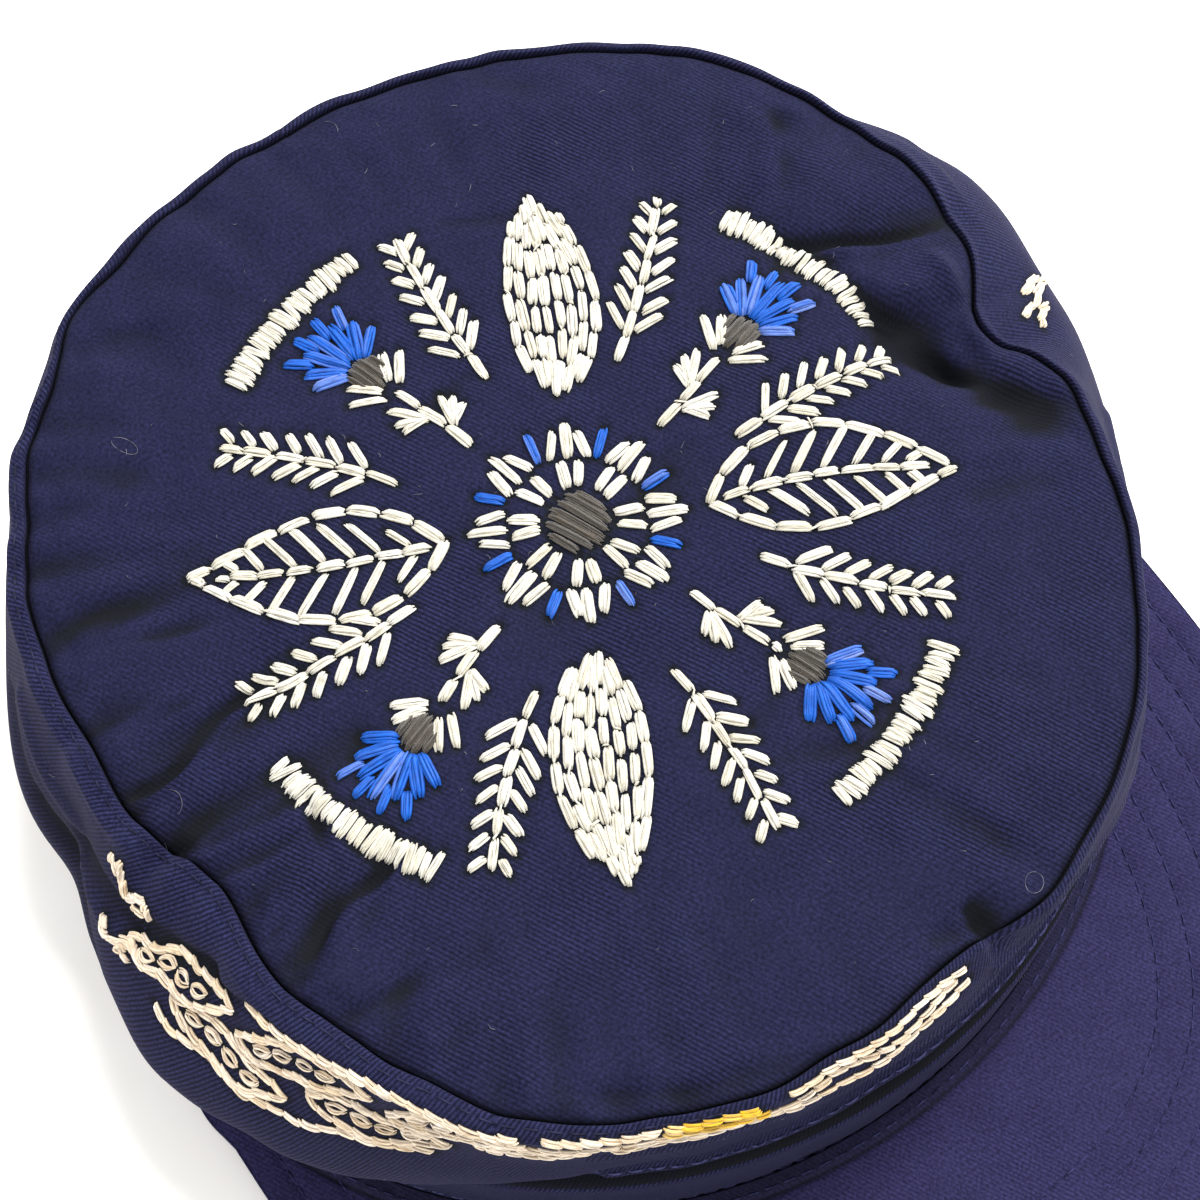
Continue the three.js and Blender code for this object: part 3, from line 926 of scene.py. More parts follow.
def peak_pairs():
    outer = peak_outline(PEAK_SECTIONS)
    azimuth = np.degrees(np.arctan2(outer[:, 0], -outer[:, 1]))
    inner = direction(azimuth) * (band_radius(azimuth) + PEAK_JOIN)[:, None]

    def corner(first_inner, first_outer, side):
        turn = np.arange(1, PEAK_CORNER_SECTIONS + 1) / (PEAK_CORNER_SECTIONS + 1) * (math.pi / 2)
        y = first_inner[1] + PEAK_CORNER * np.sin(turn)
        x = side * (BAND_HALF_WIDTH * np.sqrt(1 - (y / BAND_HALF_LENGTH) ** 2) + PEAK_JOIN * 1.5)
        reach = np.linalg.norm(first_outer - first_inner) * np.cos(turn)
        return np.stack([x, y], -1), np.stack([x + side * reach, y], -1)

    first_inner, first_outer = corner(inner[0], outer[0], 1)
    last_inner, last_outer = corner(inner[-1], outer[-1], -1)
    inner = np.concatenate([first_inner[::-1], inner, last_inner])
    outer = np.concatenate([first_outer[::-1], outer, last_outer])
    return inner, outer


def polyline_distance(points, line):
    """Distance from points to an open polyline."""
    best = np.full(points.shape[:-1], np.inf)
    for (x0, y0), (x1, y1) in zip(line[:-1], line[1:]):
        if (x0, y0) != (x1, y1):
            best = np.minimum(best, run_distance(points[..., 0], points[..., 1], x0, y0, x1, y1))
    return best


class Peak:
    """The peak's upper surface, as sections of points from the band to the outer edge."""

    def __init__(self):
        self.inner, self.outer = peak_pairs()
        near = np.linspace(0, PEAK_NEAR_SHARE, PEAK_NEAR_ROWS)
        far = np.linspace(PEAK_NEAR_SHARE, 0.992, PEAK_ROWS - PEAK_NEAR_ROWS + 1)[1:]
        shares = np.concatenate([near, far])
        at = self.inner[:, None] + (self.outer - self.inner)[:, None] * shares[None, :, None]
        self.edge_distance = polyline_distance(at, self.outer[::4])
        reach = np.linalg.norm(self.outer - self.inner, axis=1)[:, None]
        self.from_band = shares[None] * reach
        height = self.arch(at, shares[None]) + PEAK_THICKNESS
        height += FLANGE_RISE * (1 - smooth_step(FLANGE_WIDTH - 0.5, FLANGE_WIDTH + 0.3, self.from_band))
        height -= 0.3 * bell((self.from_band - FLANGE_WIDTH - 0.5) / 0.5)
        for k in range(STITCH_ROW_COUNT):
            row = STITCH_ROW_FIRST + k * STITCH_ROW_PITCH
            height -= 0.3 * bell((self.edge_distance - row) / 0.75)
        cushion = np.concatenate([at, np.zeros_like(at[..., :1])], -1)
        height += 0.12 * ripple(cushion, 30, 15) * smooth_step(0, 6, self.edge_distance)
        height += 0.35 * (1 - bell(self.edge_distance / 1.2)) - 0.35
        self.top = np.concatenate([at, height[..., None]], -1)

    def arch(self, at, share):
        across = (at[..., 0] - PEAK_SHIFT) / (PEAK_HALF_WIDTH + 1)
        return PEAK_CLEARANCE + PEAK_ARCH * (1 - np.minimum(1, across**2)) * (1 - 0.4 * share**2)

    def line_at(self, quantity, value):
        """The line on the surface where a grid quantity, monotonic along each section, has a value."""
        found = []
        for row, points in zip(quantity, self.top):
            order = row if row[-1] > row[0] else row[::-1]
            run = points if row[-1] > row[0] else points[::-1]
            if order[0] < value < order[-1]:
                found.append(interpolated(value, order, run))
        return np.array(found)


# inset from the outer edge, share of the thickness: the peak's rounded edge from above to below
PEAK_EDGE = ((0.25, 0.93), (0.0, 0.7), (0.0, 0.3), (0.25, 0.07))
PEAK_UNDER_ROWS = 24


def peak_loops(peak):
    """Loops across the peak: its upper face, its outer edge and its plain lower face."""
    outer = peak.outer
    tip = peak.arch(outer, 1.0)
    inward = peak.inner - outer
    inward = inward / np.maximum(np.linalg.norm(inward, axis=1, keepdims=True), 1e-6)
    edge = []
    for inset, lift in PEAK_EDGE:
        height = tip + PEAK_THICKNESS * lift
        edge.append(np.concatenate([outer + inward * inset, height[:, None]], -1))
    shares = np.linspace(0.99, 0, PEAK_UNDER_ROWS)
    flat = peak.inner[:, None] + (outer - peak.inner)[:, None] * shares[None, :, None]
    under = np.concatenate([flat, peak.arch(flat, shares[None])[..., None]], -1)
    return np.concatenate([peak.top, np.stack(edge, 1), under], 1)


def strip_faces(sections, size):
    """Quads of a run of closed loops, closed at its two ends."""
    faces, places = ring_faces(sections, size)
    faces = faces[places[:, 1, 0] < sections]
    j = np.arange(size // 2 - 1)
    cap = np.stack([j, j + 1, size - 2 - j, size - 1 - j], -1)
    return np.concatenate([faces, cap, (cap + (sections - 1) * size)[:, ::-1]])


def peak_piece(peak, material):
    loops = peak_loops(peak)
    points = loops.reshape(-1, 3)
    faces = strip_faces(*loops.shape[:2])
    piece = mesh_object("peak_cloth", points, faces, material)
    hollow = np.zeros(loops.shape[:2])
    # Painted shade on the strip beside the band and in the fold at its edge.
    strip = 0.5 * (1 - smooth_step(FLANGE_WIDTH - 0.2, FLANGE_WIDTH + 0.6, peak.from_band))
    fold = 0.9 * bell((peak.from_band - FLANGE_WIDTH - 0.45) / 0.4)
    hollow[:, :PEAK_ROWS] = np.maximum(strip, fold)
    set_values(piece, "hollow", hollow)
    set_values(piece, "wales", np.ones(loops.shape[:2]))
    set_uv(piece, points[faces][..., :2])
    return piece


# Thread and floss


def tube_faces(steps, sides):
    """Triangles of a tube through rings of points, closed at both ends."""
    i, j = np.meshgrid(np.arange(steps - 1), np.arange(sides), indexing="ij")
    after = (j + 1) % sides
    here, there = i * sides, (i + 1) * sides
    quads = np.stack([here + j, here + after, there + after, there + j], -1).reshape(-1, 4)
    fan = np.arange(1, sides - 1)
    end = (steps - 1) * sides
    near = np.stack([np.zeros_like(fan), fan + 1, fan], -1)
    far = np.stack([np.full_like(fan, end), end + fan, end + fan + 1], -1)
    return np.concatenate([quads[:, [0, 1, 2]], quads[:, [0, 2, 3]], near, far])


def tubes(name, lines, radius, sides, material):
    """Small round threads: each line is an array of points, pinched at both ends."""
    points, faces, base = [], [], 0
    turn = np.arange(sides) * (2 * math.pi / sides)
    for line in lines:
        tangent = np.gradient(line, axis=0)
        tangent /= np.linalg.norm(tangent, axis=1, keepdims=True)
        side = np.cross(tangent, (0.02, 0.03, 1.0))
        side /= np.linalg.norm(side, axis=1, keepdims=True)
        lift = np.cross(side, tangent)
        place = np.linspace(0, 1, len(line))
        size = radius * np.minimum(1, 0.45 + 5 * np.minimum(place, 1 - place))[:, None, None]
        ring = side[:, None] * np.cos(turn)[:, None] + lift[:, None] * np.sin(turn)[:, None]
        points.append((line[:, None] + ring * size).reshape(-1, 3))
        faces.append(tube_faces(len(line), sides) + base)
        base += len(line) * sides
    return mesh_object(name, np.concatenate(points), np.concatenate(faces), material)


def resample(line, step):
    travelled = travelled_along(line)
    count = max(2, int(round(travelled[-1] / step)))
    even = np.linspace(0, travelled[-1], count + 1)
    return interpolated(even, travelled, line)


def seam_stitches(line, normal, seed):
    """Splits a line into short machine stitches that dip into the cloth at both ends."""
    draw = np.random.default_rng(seed)
    points = len(SEAM_ARCH)
    fine = resample(line, (SEAM_STITCH + SEAM_STITCH_GAP) / points)
    stitches = []
    for start in range(0, len(fine) - points, points):
        arch = SEAM_ARCH * draw.uniform(0.7, 1.1)
        stitches.append(fine[start : start + points] + normal * arch[:, None])
    return stitches


STRAND_SIDES = 5
STITCH_STEPS = 8
FLOSS_SINK = 0.35


def strand_rings(base, side, normal, width, height, bow, strands, draw):
    """The strands of each stitch: all but one lie side by side, and the last lies on top of them."""
    count = len(base)
    low = strands - 1
    t = np.linspace(0, 1, STITCH_STEPS)
    belly = 1 - np.abs(2 * t - 1) ** 4
    pitch = (width / (low + 0.3))[:, None]
    place = np.arange(low) - (low - 1) / 2
    across = np.concatenate([place * pitch, draw.uniform(-0.7, 0.7, (count, 1)) * pitch], 1)
    across += draw.normal(scale=0.08, size=across.shape) * pitch
    dome = 0.55 - 0.5 * (place / max(low / 2, 1)) ** 2
    lift = np.concatenate([np.broadcast_to(dome, (count, low)), np.ones((count, 1))], 1) * height[:, None]
    lift += draw.normal(scale=0.07, size=lift.shape) * height[:, None]
    early = draw.uniform(-0.3, 0.3, across.shape)
    late = draw.uniform(-0.3, 0.3, across.shape)
    phase = draw.uniform(0, 2 * math.pi, across.shape)
    twist = 0.16 * pitch[..., None] * np.sin(2.4 * t + phase[..., None])
    spread = 0.72 + 0.28 * belly
    off = across[..., None] * spread + twist + (bow[:, None] * np.sin(math.pi * t))[:, None]
    up = lift[..., None] * (0.25 + 0.75 * belly) - FLOSS_SINK * (1 - belly) ** 2
    slide = early[..., None] * (1 - t) + late[..., None] * t
    way = base[:, -1] - base[:, 0]
    way /= np.linalg.norm(way, axis=-1, keepdims=True)
    middle = base[:, None] + way[:, None, None] * slide[..., None]
    middle = middle + side[:, None] * off[..., None] + normal[:, None] * up[..., None]
    turn = np.arange(STRAND_SIDES) * (2 * math.pi / STRAND_SIDES) + math.pi / 2
    taper = np.minimum(1, 0.62 + 2.6 * np.minimum(t, 1 - t))
    radius = (pitch * 0.66)[..., None] * taper
    ring = side[:, None, :, None] * np.cos(turn)[:, None] + normal[:, None, :, None] * np.sin(turn)[:, None]
    return middle[..., None, :] + ring * radius[..., None, None], turn


def floss_piece(name, rows, carrier, material, seed, strands=5):
    """Hand stitches. A row holds two places on the carrier, the width, the height and the bow in mm."""
    draw = np.random.default_rng(seed)
    count = len(rows)
    ends = np.array([(row[0], row[1]) for row in rows], float)
    width, height, bow = (np.array([row[k] for row in rows], float) for k in (2, 3, 4))
    t = np.linspace(0, 1, STITCH_STEPS)
    places = ends[:, None, 0] * (1 - t)[None, :, None] + ends[:, None, 1] * t[None, :, None]
    base, normal = carrier(places)
    tangent = np.gradient(base, axis=1)
    tangent /= np.linalg.norm(tangent, axis=-1, keepdims=True)
    side = np.cross(tangent, normal)
    length = np.linalg.norm(base[:, -1] - base[:, 0], axis=-1)
    rings, turn = strand_rings(base, side, normal, width, height, bow, strands, draw)
    size = STITCH_STEPS * STRAND_SIDES
    total = count * strands
    strand = tube_faces(STITCH_STEPS, STRAND_SIDES)
    faces = (strand[None] + (np.arange(total) * size)[:, None, None]).reshape(-1, 3)
    piece = mesh_object(name, rings.reshape(-1, 3), faces, material)
    shape = rings.shape[:-1]
    u = np.broadcast_to((t * length[:, None])[:, None, :, None], shape)
    u = u + np.arange(count)[:, None, None, None] * 7.3
    v = np.broadcast_to(turn * 0.12, shape) + np.arange(strands)[None, :, None, None] * 1.7
    uv = np.stack([u, v], -1).reshape(-1, 2)
    set_uv(piece, uv[faces])
    tone = 0.6 * draw.uniform(0, 1, (count, 1)) + 0.4 * draw.uniform(0, 1, (count, strands))
    set_values(piece, "tone", np.broadcast_to(tone[..., None, None], shape))
    # Painted shade on each strand's sides and underside, where the strands crowd together.
    crevice = np.clip(0.45 - 0.75 * np.sin(turn), 0, 1)
    set_values(piece, "crevice", np.broadcast_to(crevice, shape))
    return piece


# Embroidery of the crown: a wreath of leaves, cornflowers and sprigs round a daisy.
# Motifs are laid out on the top with the first axis to the picture's right and the second up.

PICTURE_RIGHT = np.array([0.820, -0.572])
PICTURE_UP = np.array([0.572, 0.820])
STITCH_LENGTH = 5.4
STITCH_GAP = 0.45
FLOSS_WIDTH = 1.75
FLOSS_HEIGHT = 0.42
TIE_CHANCE = 0.4


def on_crown(points):
    points = np.asarray(points, float)
    flat = points[..., :1] * PICTURE_RIGHT + points[..., 1:] * PICTURE_UP
    return flat + (0, CROWN_CENTRE_Y)


def heading(degrees):
    return np.array([math.cos(math.radians(degrees)), math.sin(math.radians(degrees))])


def bent_line(start, degrees, length, bend, count=60):
    """A line that starts at a heading and turns evenly by bend degrees."""
    turn = np.radians(degrees + np.linspace(0, bend, count))
    steps = np.stack([np.cos(turn), np.sin(turn)], -1) * (length / (count - 1))
    return np.asarray(start, float) + np.concatenate([[(0, 0)], np.cumsum(steps[:-1], 0)])


def line_length(line):
    return travelled_along(line)[-1]


def point_along(line, distance):
    travelled = travelled_along(line)
    return interpolated(distance, travelled, line)


QUARTER_TURN = np.array([[0.0, -1.0], [1.0, 0.0]])


def normals_of(line):
    run = np.gradient(line, axis=0)
    run /= np.linalg.norm(run, axis=1, keepdims=True)
    return run @ -QUARTER_TURN


class Sampler:
    """Collects the stitches of one colour, and the fine threads that tie one stitch to the next."""

    def __init__(self, seed, lay):
        self.draw = np.random.default_rng(seed)
        self.lay = lay
        self.rows = []
        self.ties = []

    def stitch(self, start, end, width=FLOSS_WIDTH, height=FLOSS_HEIGHT, bow=0.0, astray=0.15):
        jitter = self.draw.normal(scale=astray, size=(2, 2))
        vary = self.draw.uniform(0.86, 1.12)
        start, end = self.lay(np.asarray(start) + jitter[0]), self.lay(np.asarray(end) + jitter[1])
        self.rows.append((start, end, width * vary, height * self.draw.uniform(0.85, 1.15), bow))

    def tie(self, start, end):
        if self.draw.uniform() < TIE_CHANCE:
            reach = (np.asarray(end) - start) * 0.6
            away = self.draw.normal(scale=0.35, size=2)
            self.ties.append((self.lay(start - reach + away), self.lay(end + reach - away), 0.3, 0.2, 0.0))

    def running(self, line, offset=0.0, length=STITCH_LENGTH, width=FLOSS_WIDTH):
        total = line_length(line)
        at = offset
        while at < total - 1.5:
            size = length * self.draw.uniform(0.88, 1.12)
            stop = min(at + size, total)
            self.stitch(point_along(line, at), point_along(line, stop), width)
            at = stop + STITCH_GAP
            if at < total - 1.5:
                self.tie(point_along(line, stop), point_along(line, at))

    def satin(self, line, reach, pitch=1.35, width=1.35, lean=0.0):
        """Short stitches side by side along a line, like a ladder."""
        total = line_length(line)
        normals = normals_of(line)
        for at in np.arange(0, total, pitch):
            k = int(at / total * (len(line) - 1))
            centre = point_along(line, at)
            half = reach / 2 * self.draw.uniform(0.78, 1.16)
            along = normals[k] @ QUARTER_TURN
            way = normals[k] + along * (lean + self.draw.normal(scale=0.07))
            self.stitch(centre - way * half, centre + way * half, width, 0.36)

    def chain(self, line, link=2.9, width=1.45):
        """A rope of stem stitches: each leans a little and begins beside the end of the last."""
        total = line_length(line)
        count = max(1, int(round(total / link)))
        stops = np.linspace(0, total, count + 1)
        normals = normals_of(line)
        for a, b in zip(stops[:-1], stops[1:]):
            k = int(a / total * (len(line) - 1))
            lean = normals[k] * 0.28 * self.draw.uniform(0.7, 1.3)
            start = point_along(line, max(a - 0.16 * link, 0)) - lean
            end = point_along(line, min(b + 0.16 * link, total)) + lean
            self.stitch(start, end, width, 0.5, 0.15, 0.05)

    def eyes(self, line, length=3.5, gap=0.4, width=1.0, bow=0.9):
        """Small open loops in a row, each of two stitches that bow apart."""
        total = line_length(line)
        for at in np.arange(0, total - length, length + gap):
            ends = point_along(line, at), point_along(line, at + length)
            for side in (-1, 1):
                self.stitch(*ends, width, 0.45, side * bow, 0.05)


def filled_leaf(sampler, start, degrees, length, width, bend, lanes):
    """A pointed leaf filled with staggered stitches along its length."""
    spine = bent_line(start, degrees, length, bend)
    normals = normals_of(spine)
    share = np.linspace(0, 1, len(spine))
    half = width / 2 * np.sin(math.pi * share**0.85) ** 0.85
    for lane in range(lanes):
        place = (lane + 0.5) / lanes * 2 - 1
        run = spine + normals * (half * place)[:, None]
        first = 0.015 + 0.10 * abs(place) ** 3 + 0.03 * (lane % 2)
        last = 0.97 - 0.12 * abs(place) ** 3 - 0.05 * ((lane + 1) % 2)
        keep = (share > first) & (share < last) & (half * 2 / lanes > 0.2 + 0.85 * abs(place))
        if keep.sum() > 4:
            sampler.running(run[keep], offset=(lane % 2) * 1.2, length=5.0, width=1.75)


def outlined_leaf(sampler, start, degrees, length, width, bend):
    """A leaf with an outline, a midrib and veins."""
    spine = bent_line(start, degrees, length, bend)
    normals = normals_of(spine)
    share = np.linspace(0, 1, len(spine))
    half = width / 2 * np.sin(math.pi * share**0.8)
    for side in (-1, 1):
        sampler.running(spine + normals * (side * half)[:, None])
    sampler.running(spine[4:-6], length=4.4, width=1.55)
    along = normals @ QUARTER_TURN
    for at in np.arange(0.14, 0.84, 0.115):
        k = int(at * (len(spine) - 1))
        for side in (-1, 1):
            root = spine[k] + normals[k] * side * 1.0
            tip = spine[k] + normals[k] * side * (half[k] - 1.3) + along[k] * half[k] * 0.55
            if np.linalg.norm(tip - root) > 2.2:
                sampler.stitch(root, tip, 1.4)


def sprig(sampler, start, degrees, length, bend, reach):
    """A stem with paired stitches that lean forward, shorter towards the tip."""
    spine = bent_line(start, degrees, length, bend)
    sampler.running(spine, length=4.6, width=1.6)
    normals = normals_of(spine)
    along = normals @ QUARTER_TURN
    for at in np.arange(0.2, 0.97, 3.7 / length):
        k = int(at * (len(spine) - 1))
        size = reach * (1.1 - 0.55 * at)
        for side in (-1, 1):
            root = spine[k] + normals[k] * side * 1.0
            sampler.stitch(root, root + (normals[k] * side * 0.75 + along[k] * 0.8) * size, 1.6)


def cornflower(colours, centre, degrees, stem):
    """Blue petals in a fan over a brown cup, on a pale stem with two small leaves."""
    blue, brown, white = colours
    centre = np.asarray(centre, float)
    ahead, beside = heading(degrees), heading(degrees + 90)
    for spread in (-60, -40, -20, 0, 20, 40, 60):
        way = heading(degrees + spread)
        root = centre + ahead * 1.2 + way * 2.6
        blue.stitch(root, root + way * (8.6 - abs(spread) / 22), 2.1, 0.5)
    for spread in (-30, -10, 10, 30):
        way = heading(degrees + spread)
        root = centre + ahead * 1.2 + way * 8.4
        blue.stitch(root, root + way * 4.6, 1.8, 0.45)
    for offset in (-2.5, -1.25, 0, 1.25, 2.5):
        half = 3.3 * math.sqrt(1 - (offset / 3.4) ** 2)
        middle = centre + beside * offset
        brown.stitch(middle - ahead * half, middle + ahead * half, 1.35, 0.45)
    for side in (-1, 1):
        root = centre - ahead * 3.6 + beside * side * 1.4
        white.stitch(root, root + heading(degrees + side * 34) * 5.2, 1.7)
        lower = root + beside * side * 0.4 - ahead * 1.5
        white.stitch(lower, root + heading(degrees + side * 66) * 5.6, 1.6)
    foot = centre - ahead * 4.4
    line = bent_line(foot - ahead * stem, degrees - 5, stem, 10)
    white.running(line, length=4.8, width=1.7)
    for at, side in ((0.25, -1), (0.5, 1)):
        root = point_along(line, at * stem) + beside * side * 0.9
        for k in range(3):
            white.stitch(root, root + heading(degrees + side * (28 + 22 * k)) * (6.4 - k), 1.6)


def daisy(colours, centre, petals):
    blue, brown, white = colours
    centre = np.asarray(centre, float)
    for k in range(petals):
        turn = k * 360 / petals + 8
        out, beside = heading(turn), heading(turn + 90)
        for side in (-1, 1):
            across = beside * side
            white.stitch(centre + out * 6.3 + across * 0.9, centre + out * 11.0 + across * 1.6, 1.75)
            white.stitch(centre + out * 11.5 + across * 2.9, centre + out * 16.2 + across * 1.9, 1.75)
        white.stitch(centre + out * 11.6, centre + out * 17.6, 1.85)
        between = heading(turn + 180 / petals)
        blue.stitch(centre + between * 12.2, centre + between * 17.2, 1.7)
    for offset in (-4.2, -2.8, -1.4, 0, 1.4, 2.8, 4.2):
        half = 4.9 * math.sqrt(1 - (offset / 5.0) ** 2)
        middle = centre + heading(60) * offset
        brown.stitch(middle - heading(150) * half, middle + heading(150) * half, 1.5, 0.45)


WREATH_TURN = 9.0
WREATH_QUARTERS = 4
LEAF_ROOT = 21.5
LEAF_LENGTH = 42.0
LEAF_WIDTH = 16.5
LEAF_BEND = 22.0
FLOWER_RADIUS = 43.5
SPRIG_ROOT = 30.0
SPRIG_LENGTH = 31.0
SPRIG_ANGLE = 21.5
ARC_RADIUS = 61.5


def crown_embroidery():
    blue, brown = Sampler(21, on_crown), Sampler(22, on_crown)
    flowers, leaves, sprigs = (Sampler(seed, on_crown) for seed in (23, 24, 25))
    colours = (blue, brown, flowers)
    draw = np.random.default_rng(26)
    daisy(colours, (0, 0), 8)
    for quarter in range(WREATH_QUARTERS):
        turn = WREATH_TURN + quarter * 360 / WREATH_QUARTERS
        hand = 1 if quarter % 2 else -1
        leaf_turn = turn + draw.uniform(-2, 2)
        root = heading(leaf_turn) * LEAF_ROOT
        length = LEAF_LENGTH * draw.uniform(0.95, 1.03)
        lead = leaf_turn - hand * LEAF_BEND / 2
        if quarter % 2:
            filled_leaf(leaves, root, lead, length, LEAF_WIDTH, hand * LEAF_BEND, 8)
        else:
            outlined_leaf(leaves, root, lead, length, LEAF_WIDTH + 2, hand * LEAF_BEND)
        flower_turn = turn + 45 + draw.uniform(-2, 2)
        cornflower(colours, heading(flower_turn) * FLOWER_RADIUS, flower_turn, 17.0)
        arc = np.radians(flower_turn + np.linspace(-14, 14, 40))
        sprigs.satin(ARC_RADIUS * np.stack([np.cos(arc), np.sin(arc)], -1), 4.4)
        for side in (-1, 1):
            twig_turn = turn + 45 + side * (45 - SPRIG_ANGLE)
            root = heading(twig_turn) * SPRIG_ROOT
            length = SPRIG_LENGTH * draw.uniform(0.94, 1.04)
            sprig(sprigs, root, twig_turn - side * 7, length, side * 14, 4.9)
    return blue, brown, flowers, leaves, sprigs


# Embroidery of the wall: a scroll of chain stitch. Places are azimuth and millimetres down from the crest.

ARC = math.radians(1) * 92  # millimetres of the embroidered wall for one degree

# azimuth, middle, reach: millimetres down from the crest to the scroll's middle, and its half width
SCROLL = np.array(
    [
        (-90, 22.5, 1.2),
        (-86, 21.5, 4.0),
        (-80, 20.0, 7.0),
        (-73, 17.8, 9.0),
        (-66, 14.8, 9.6),
        (-58, 12.7, 8.8),
        (-50, 11.2, 7.8),
        (-44, 9.4, 6.4),
        (-38, 7.4, 4.9),
        (-30, 5.6, 3.6),
        (-15, 4.9, 3.1),
        (0, 4.3, 2.6),
        (5, 3.9, 1.2),
    ]
)


def on_wall(points):
    """Millimetres round the wall and down it, as a place for the wall's carrier."""
    return np.asarray(points, float) / (ARC, 1)


def in_scroll(azimuth, height):
    """A line from azimuths and heights, which are shares of the scroll's reach above its middle."""
    middle = np.interp(azimuth, SCROLL[:, 0], SCROLL[:, 1])
    reach = np.interp(azimuth, SCROLL[:, 0], SCROLL[:, 2])
    down = np.maximum(middle - np.asarray(height) * reach, 1.4)
    return np.stack([azimuth * ARC, down], -1)


# middle azimuth, span, height at its root, height at its tip, half width as a share of the reach
GARLAND_LEAVES = (
    (-79.0, 14.0, 0.18, 0.6, 0.46),
    (-71.5, 14.5, -0.18, -0.6, 0.42),
    (-63.5, 15.0, 0.18, 0.6, 0.4),
    (-55.5, 14.0, -0.18, -0.58, 0.42),
    (-48.0, 13.0, 0.18, 0.58, 0.42),
    (-41.0, 11.0, -0.16, -0.56, 0.42),
)


def garland_leaf(sampler, azimuth, span, root, tip, width):
    """A pointed leaf: a rope round it and a row of small loops along its middle."""
    t = np.linspace(0, 1, 50)
    at = azimuth + (t - 0.5) * span
    spine = root + (tip - root) * t**0.8
    belly = width * np.sin(math.pi * t**0.85) ** 0.8
    sampler.chain(in_scroll(at, spine + belly))
    sampler.chain(in_scroll(at, spine - belly))
    sampler.eyes(in_scroll(at[7:44], spine[7:44]))


def wall_embroidery():
    cream, yellow = Sampler(31, on_wall), Sampler(32, on_wall)
    stem = np.linspace(-88, -33, 240)
    cream.chain(in_scroll(stem, 0.08 * np.sin(np.radians(stem) * 22)))
    for leaf in GARLAND_LEAVES:
        garland_leaf(cream, *leaf)
    for first, last, height in ((-71, -55, 1.02), (-80, -64, -0.98), (-64, -50, -1.02), (-56, -42, 1.02)):
        run = np.linspace(first, last, 60)
        cream.chain(in_scroll(run, height - 0.16 * np.sign(height) * bell((run - (first + last) / 2) / 4)))
    for azimuth, height in ((-85.5, -0.5), (-88.8, 0.6)):
        turn = np.linspace(0.4, 5.6, 30)
        grow = 0.35 + 0.65 * turn / 5.6
        curl = in_scroll(azimuth + 1.6 * grow * np.cos(turn), height + 0.4 * grow * np.sin(turn))
        cream.chain(curl, link=2.3)
    for first, last, height in ((-40, -29.3, 0.98), (-17, 4.5, 0.98), (-34, 4.5, -0.98)):
        run = np.linspace(first, last, 80)
        cream.chain(in_scroll(run, np.full(80, height)), width=1.25)
    lace = np.linspace(-33, 3, 240)
    cream.chain(in_scroll(lace, 0.4 * np.sin(np.radians(lace * 24))), width=1.25)
    for height in (1.0, 0.5):
        gold = np.linspace(-29, -18 - 2 * height, 60)
        yellow.chain(in_scroll(gold, np.full(60, height)), width=1.3)
    for azimuth, down, turn in ((-92.0, 8.4, 75), (-89.6, 10.2, 35), (-87.4, 11.8, 70)):
        cream.chain(bent_line((azimuth * ARC, down), turn, 4.6, -80), link=2.2)
        cream.chain(bent_line((azimuth * ARC + 2.2, down - 0.6), turn, 3.6, -50), link=2.2)
    for azimuth, down, size in ((85.6, 10.6, 7.5), (88.2, 13.2, 9.5)):
        cream.chain(bent_line((azimuth * ARC, down), 28, size, 45))
        cream.chain(bent_line((azimuth * ARC + 3.2, down - 1.2), 40, size * 0.6, 40))
    return cream, yellow


# Lint: short loose fibres on the cloth, and a few longer ones

LINT_RADIUS = 0.04
SPECK_COUNT = 90
# place, heading, length, bend
LOOSE_FIBRES = (((-78, 1), 10, 5, 140), ((8, 90), 60, 4, 90), ((44, -20), 200, 3.4, -80))


def loop_line(centre, size, turn, start=0.0, sweep=360.0, squeeze=0.6, count=22):
    """An open or closed oval loop in millimetres of x and y."""
    angle = np.radians(start + np.linspace(0, sweep, count))
    flat = np.stack([np.cos(angle) * size, np.sin(angle) * size * squeeze], -1)
    c, s = math.cos(math.radians(turn)), math.sin(math.radians(turn))
    return np.asarray(centre) + flat @ np.array([[c, s], [-s, c]])


def laid_on_crown(flat, lift):
    here, normal = crown_carrier(flat)
    return here + normal * lift


def lint_lines(carrier):
    draw = np.random.default_rng(91)
    lines = []
    for _ in range(SPECK_COUNT):
        bearing, reach = draw.uniform(0, 2 * math.pi), 84 * math.sqrt(draw.uniform())
        place = np.array([math.cos(bearing), math.sin(bearing)]) * reach + (0, CROWN_CENTRE_Y)
        line = bent_line(place, draw.uniform(0, 360), draw.uniform(0.5, 1.6), draw.uniform(-120, 120), 5)
        lines.append(laid_on_crown(line, 0.08))
    for _ in range(SPECK_COUNT // 2):
        azimuth, down = draw.uniform(-180, 180), draw.uniform(6, 34)
        line = bent_line((azimuth * ARC, down), draw.uniform(0, 360), draw.uniform(0.5, 1.5), 60, 5)
        here, normal = carrier(on_wall(line))
        lines.append(here + normal * 0.08)
    drop = loop_line((-52.8, 58.8), 2.4, 118, start=12, sweep=336, squeeze=0.45)
    curl = loop_line((22.6, -82.4), 1.7, 30, start=-20, sweep=400, squeeze=0.85)
    lines.append(laid_on_crown(drop, 0.14))
    lines.append(laid_on_crown(curl, 0.2))
    for place, turn, length, bend in LOOSE_FIBRES:
        lines.append(laid_on_crown(bent_line(place, turn, length, bend, 12), 0.16))
    hair = [(6.2, 96.6, 80.6), (6.0, 98.2, 81.1), (5.2, 99.6, 81.2), (4.2, 100.6, 80.9)]
    lines.append(np.array(hair))
    return lines


# Materials


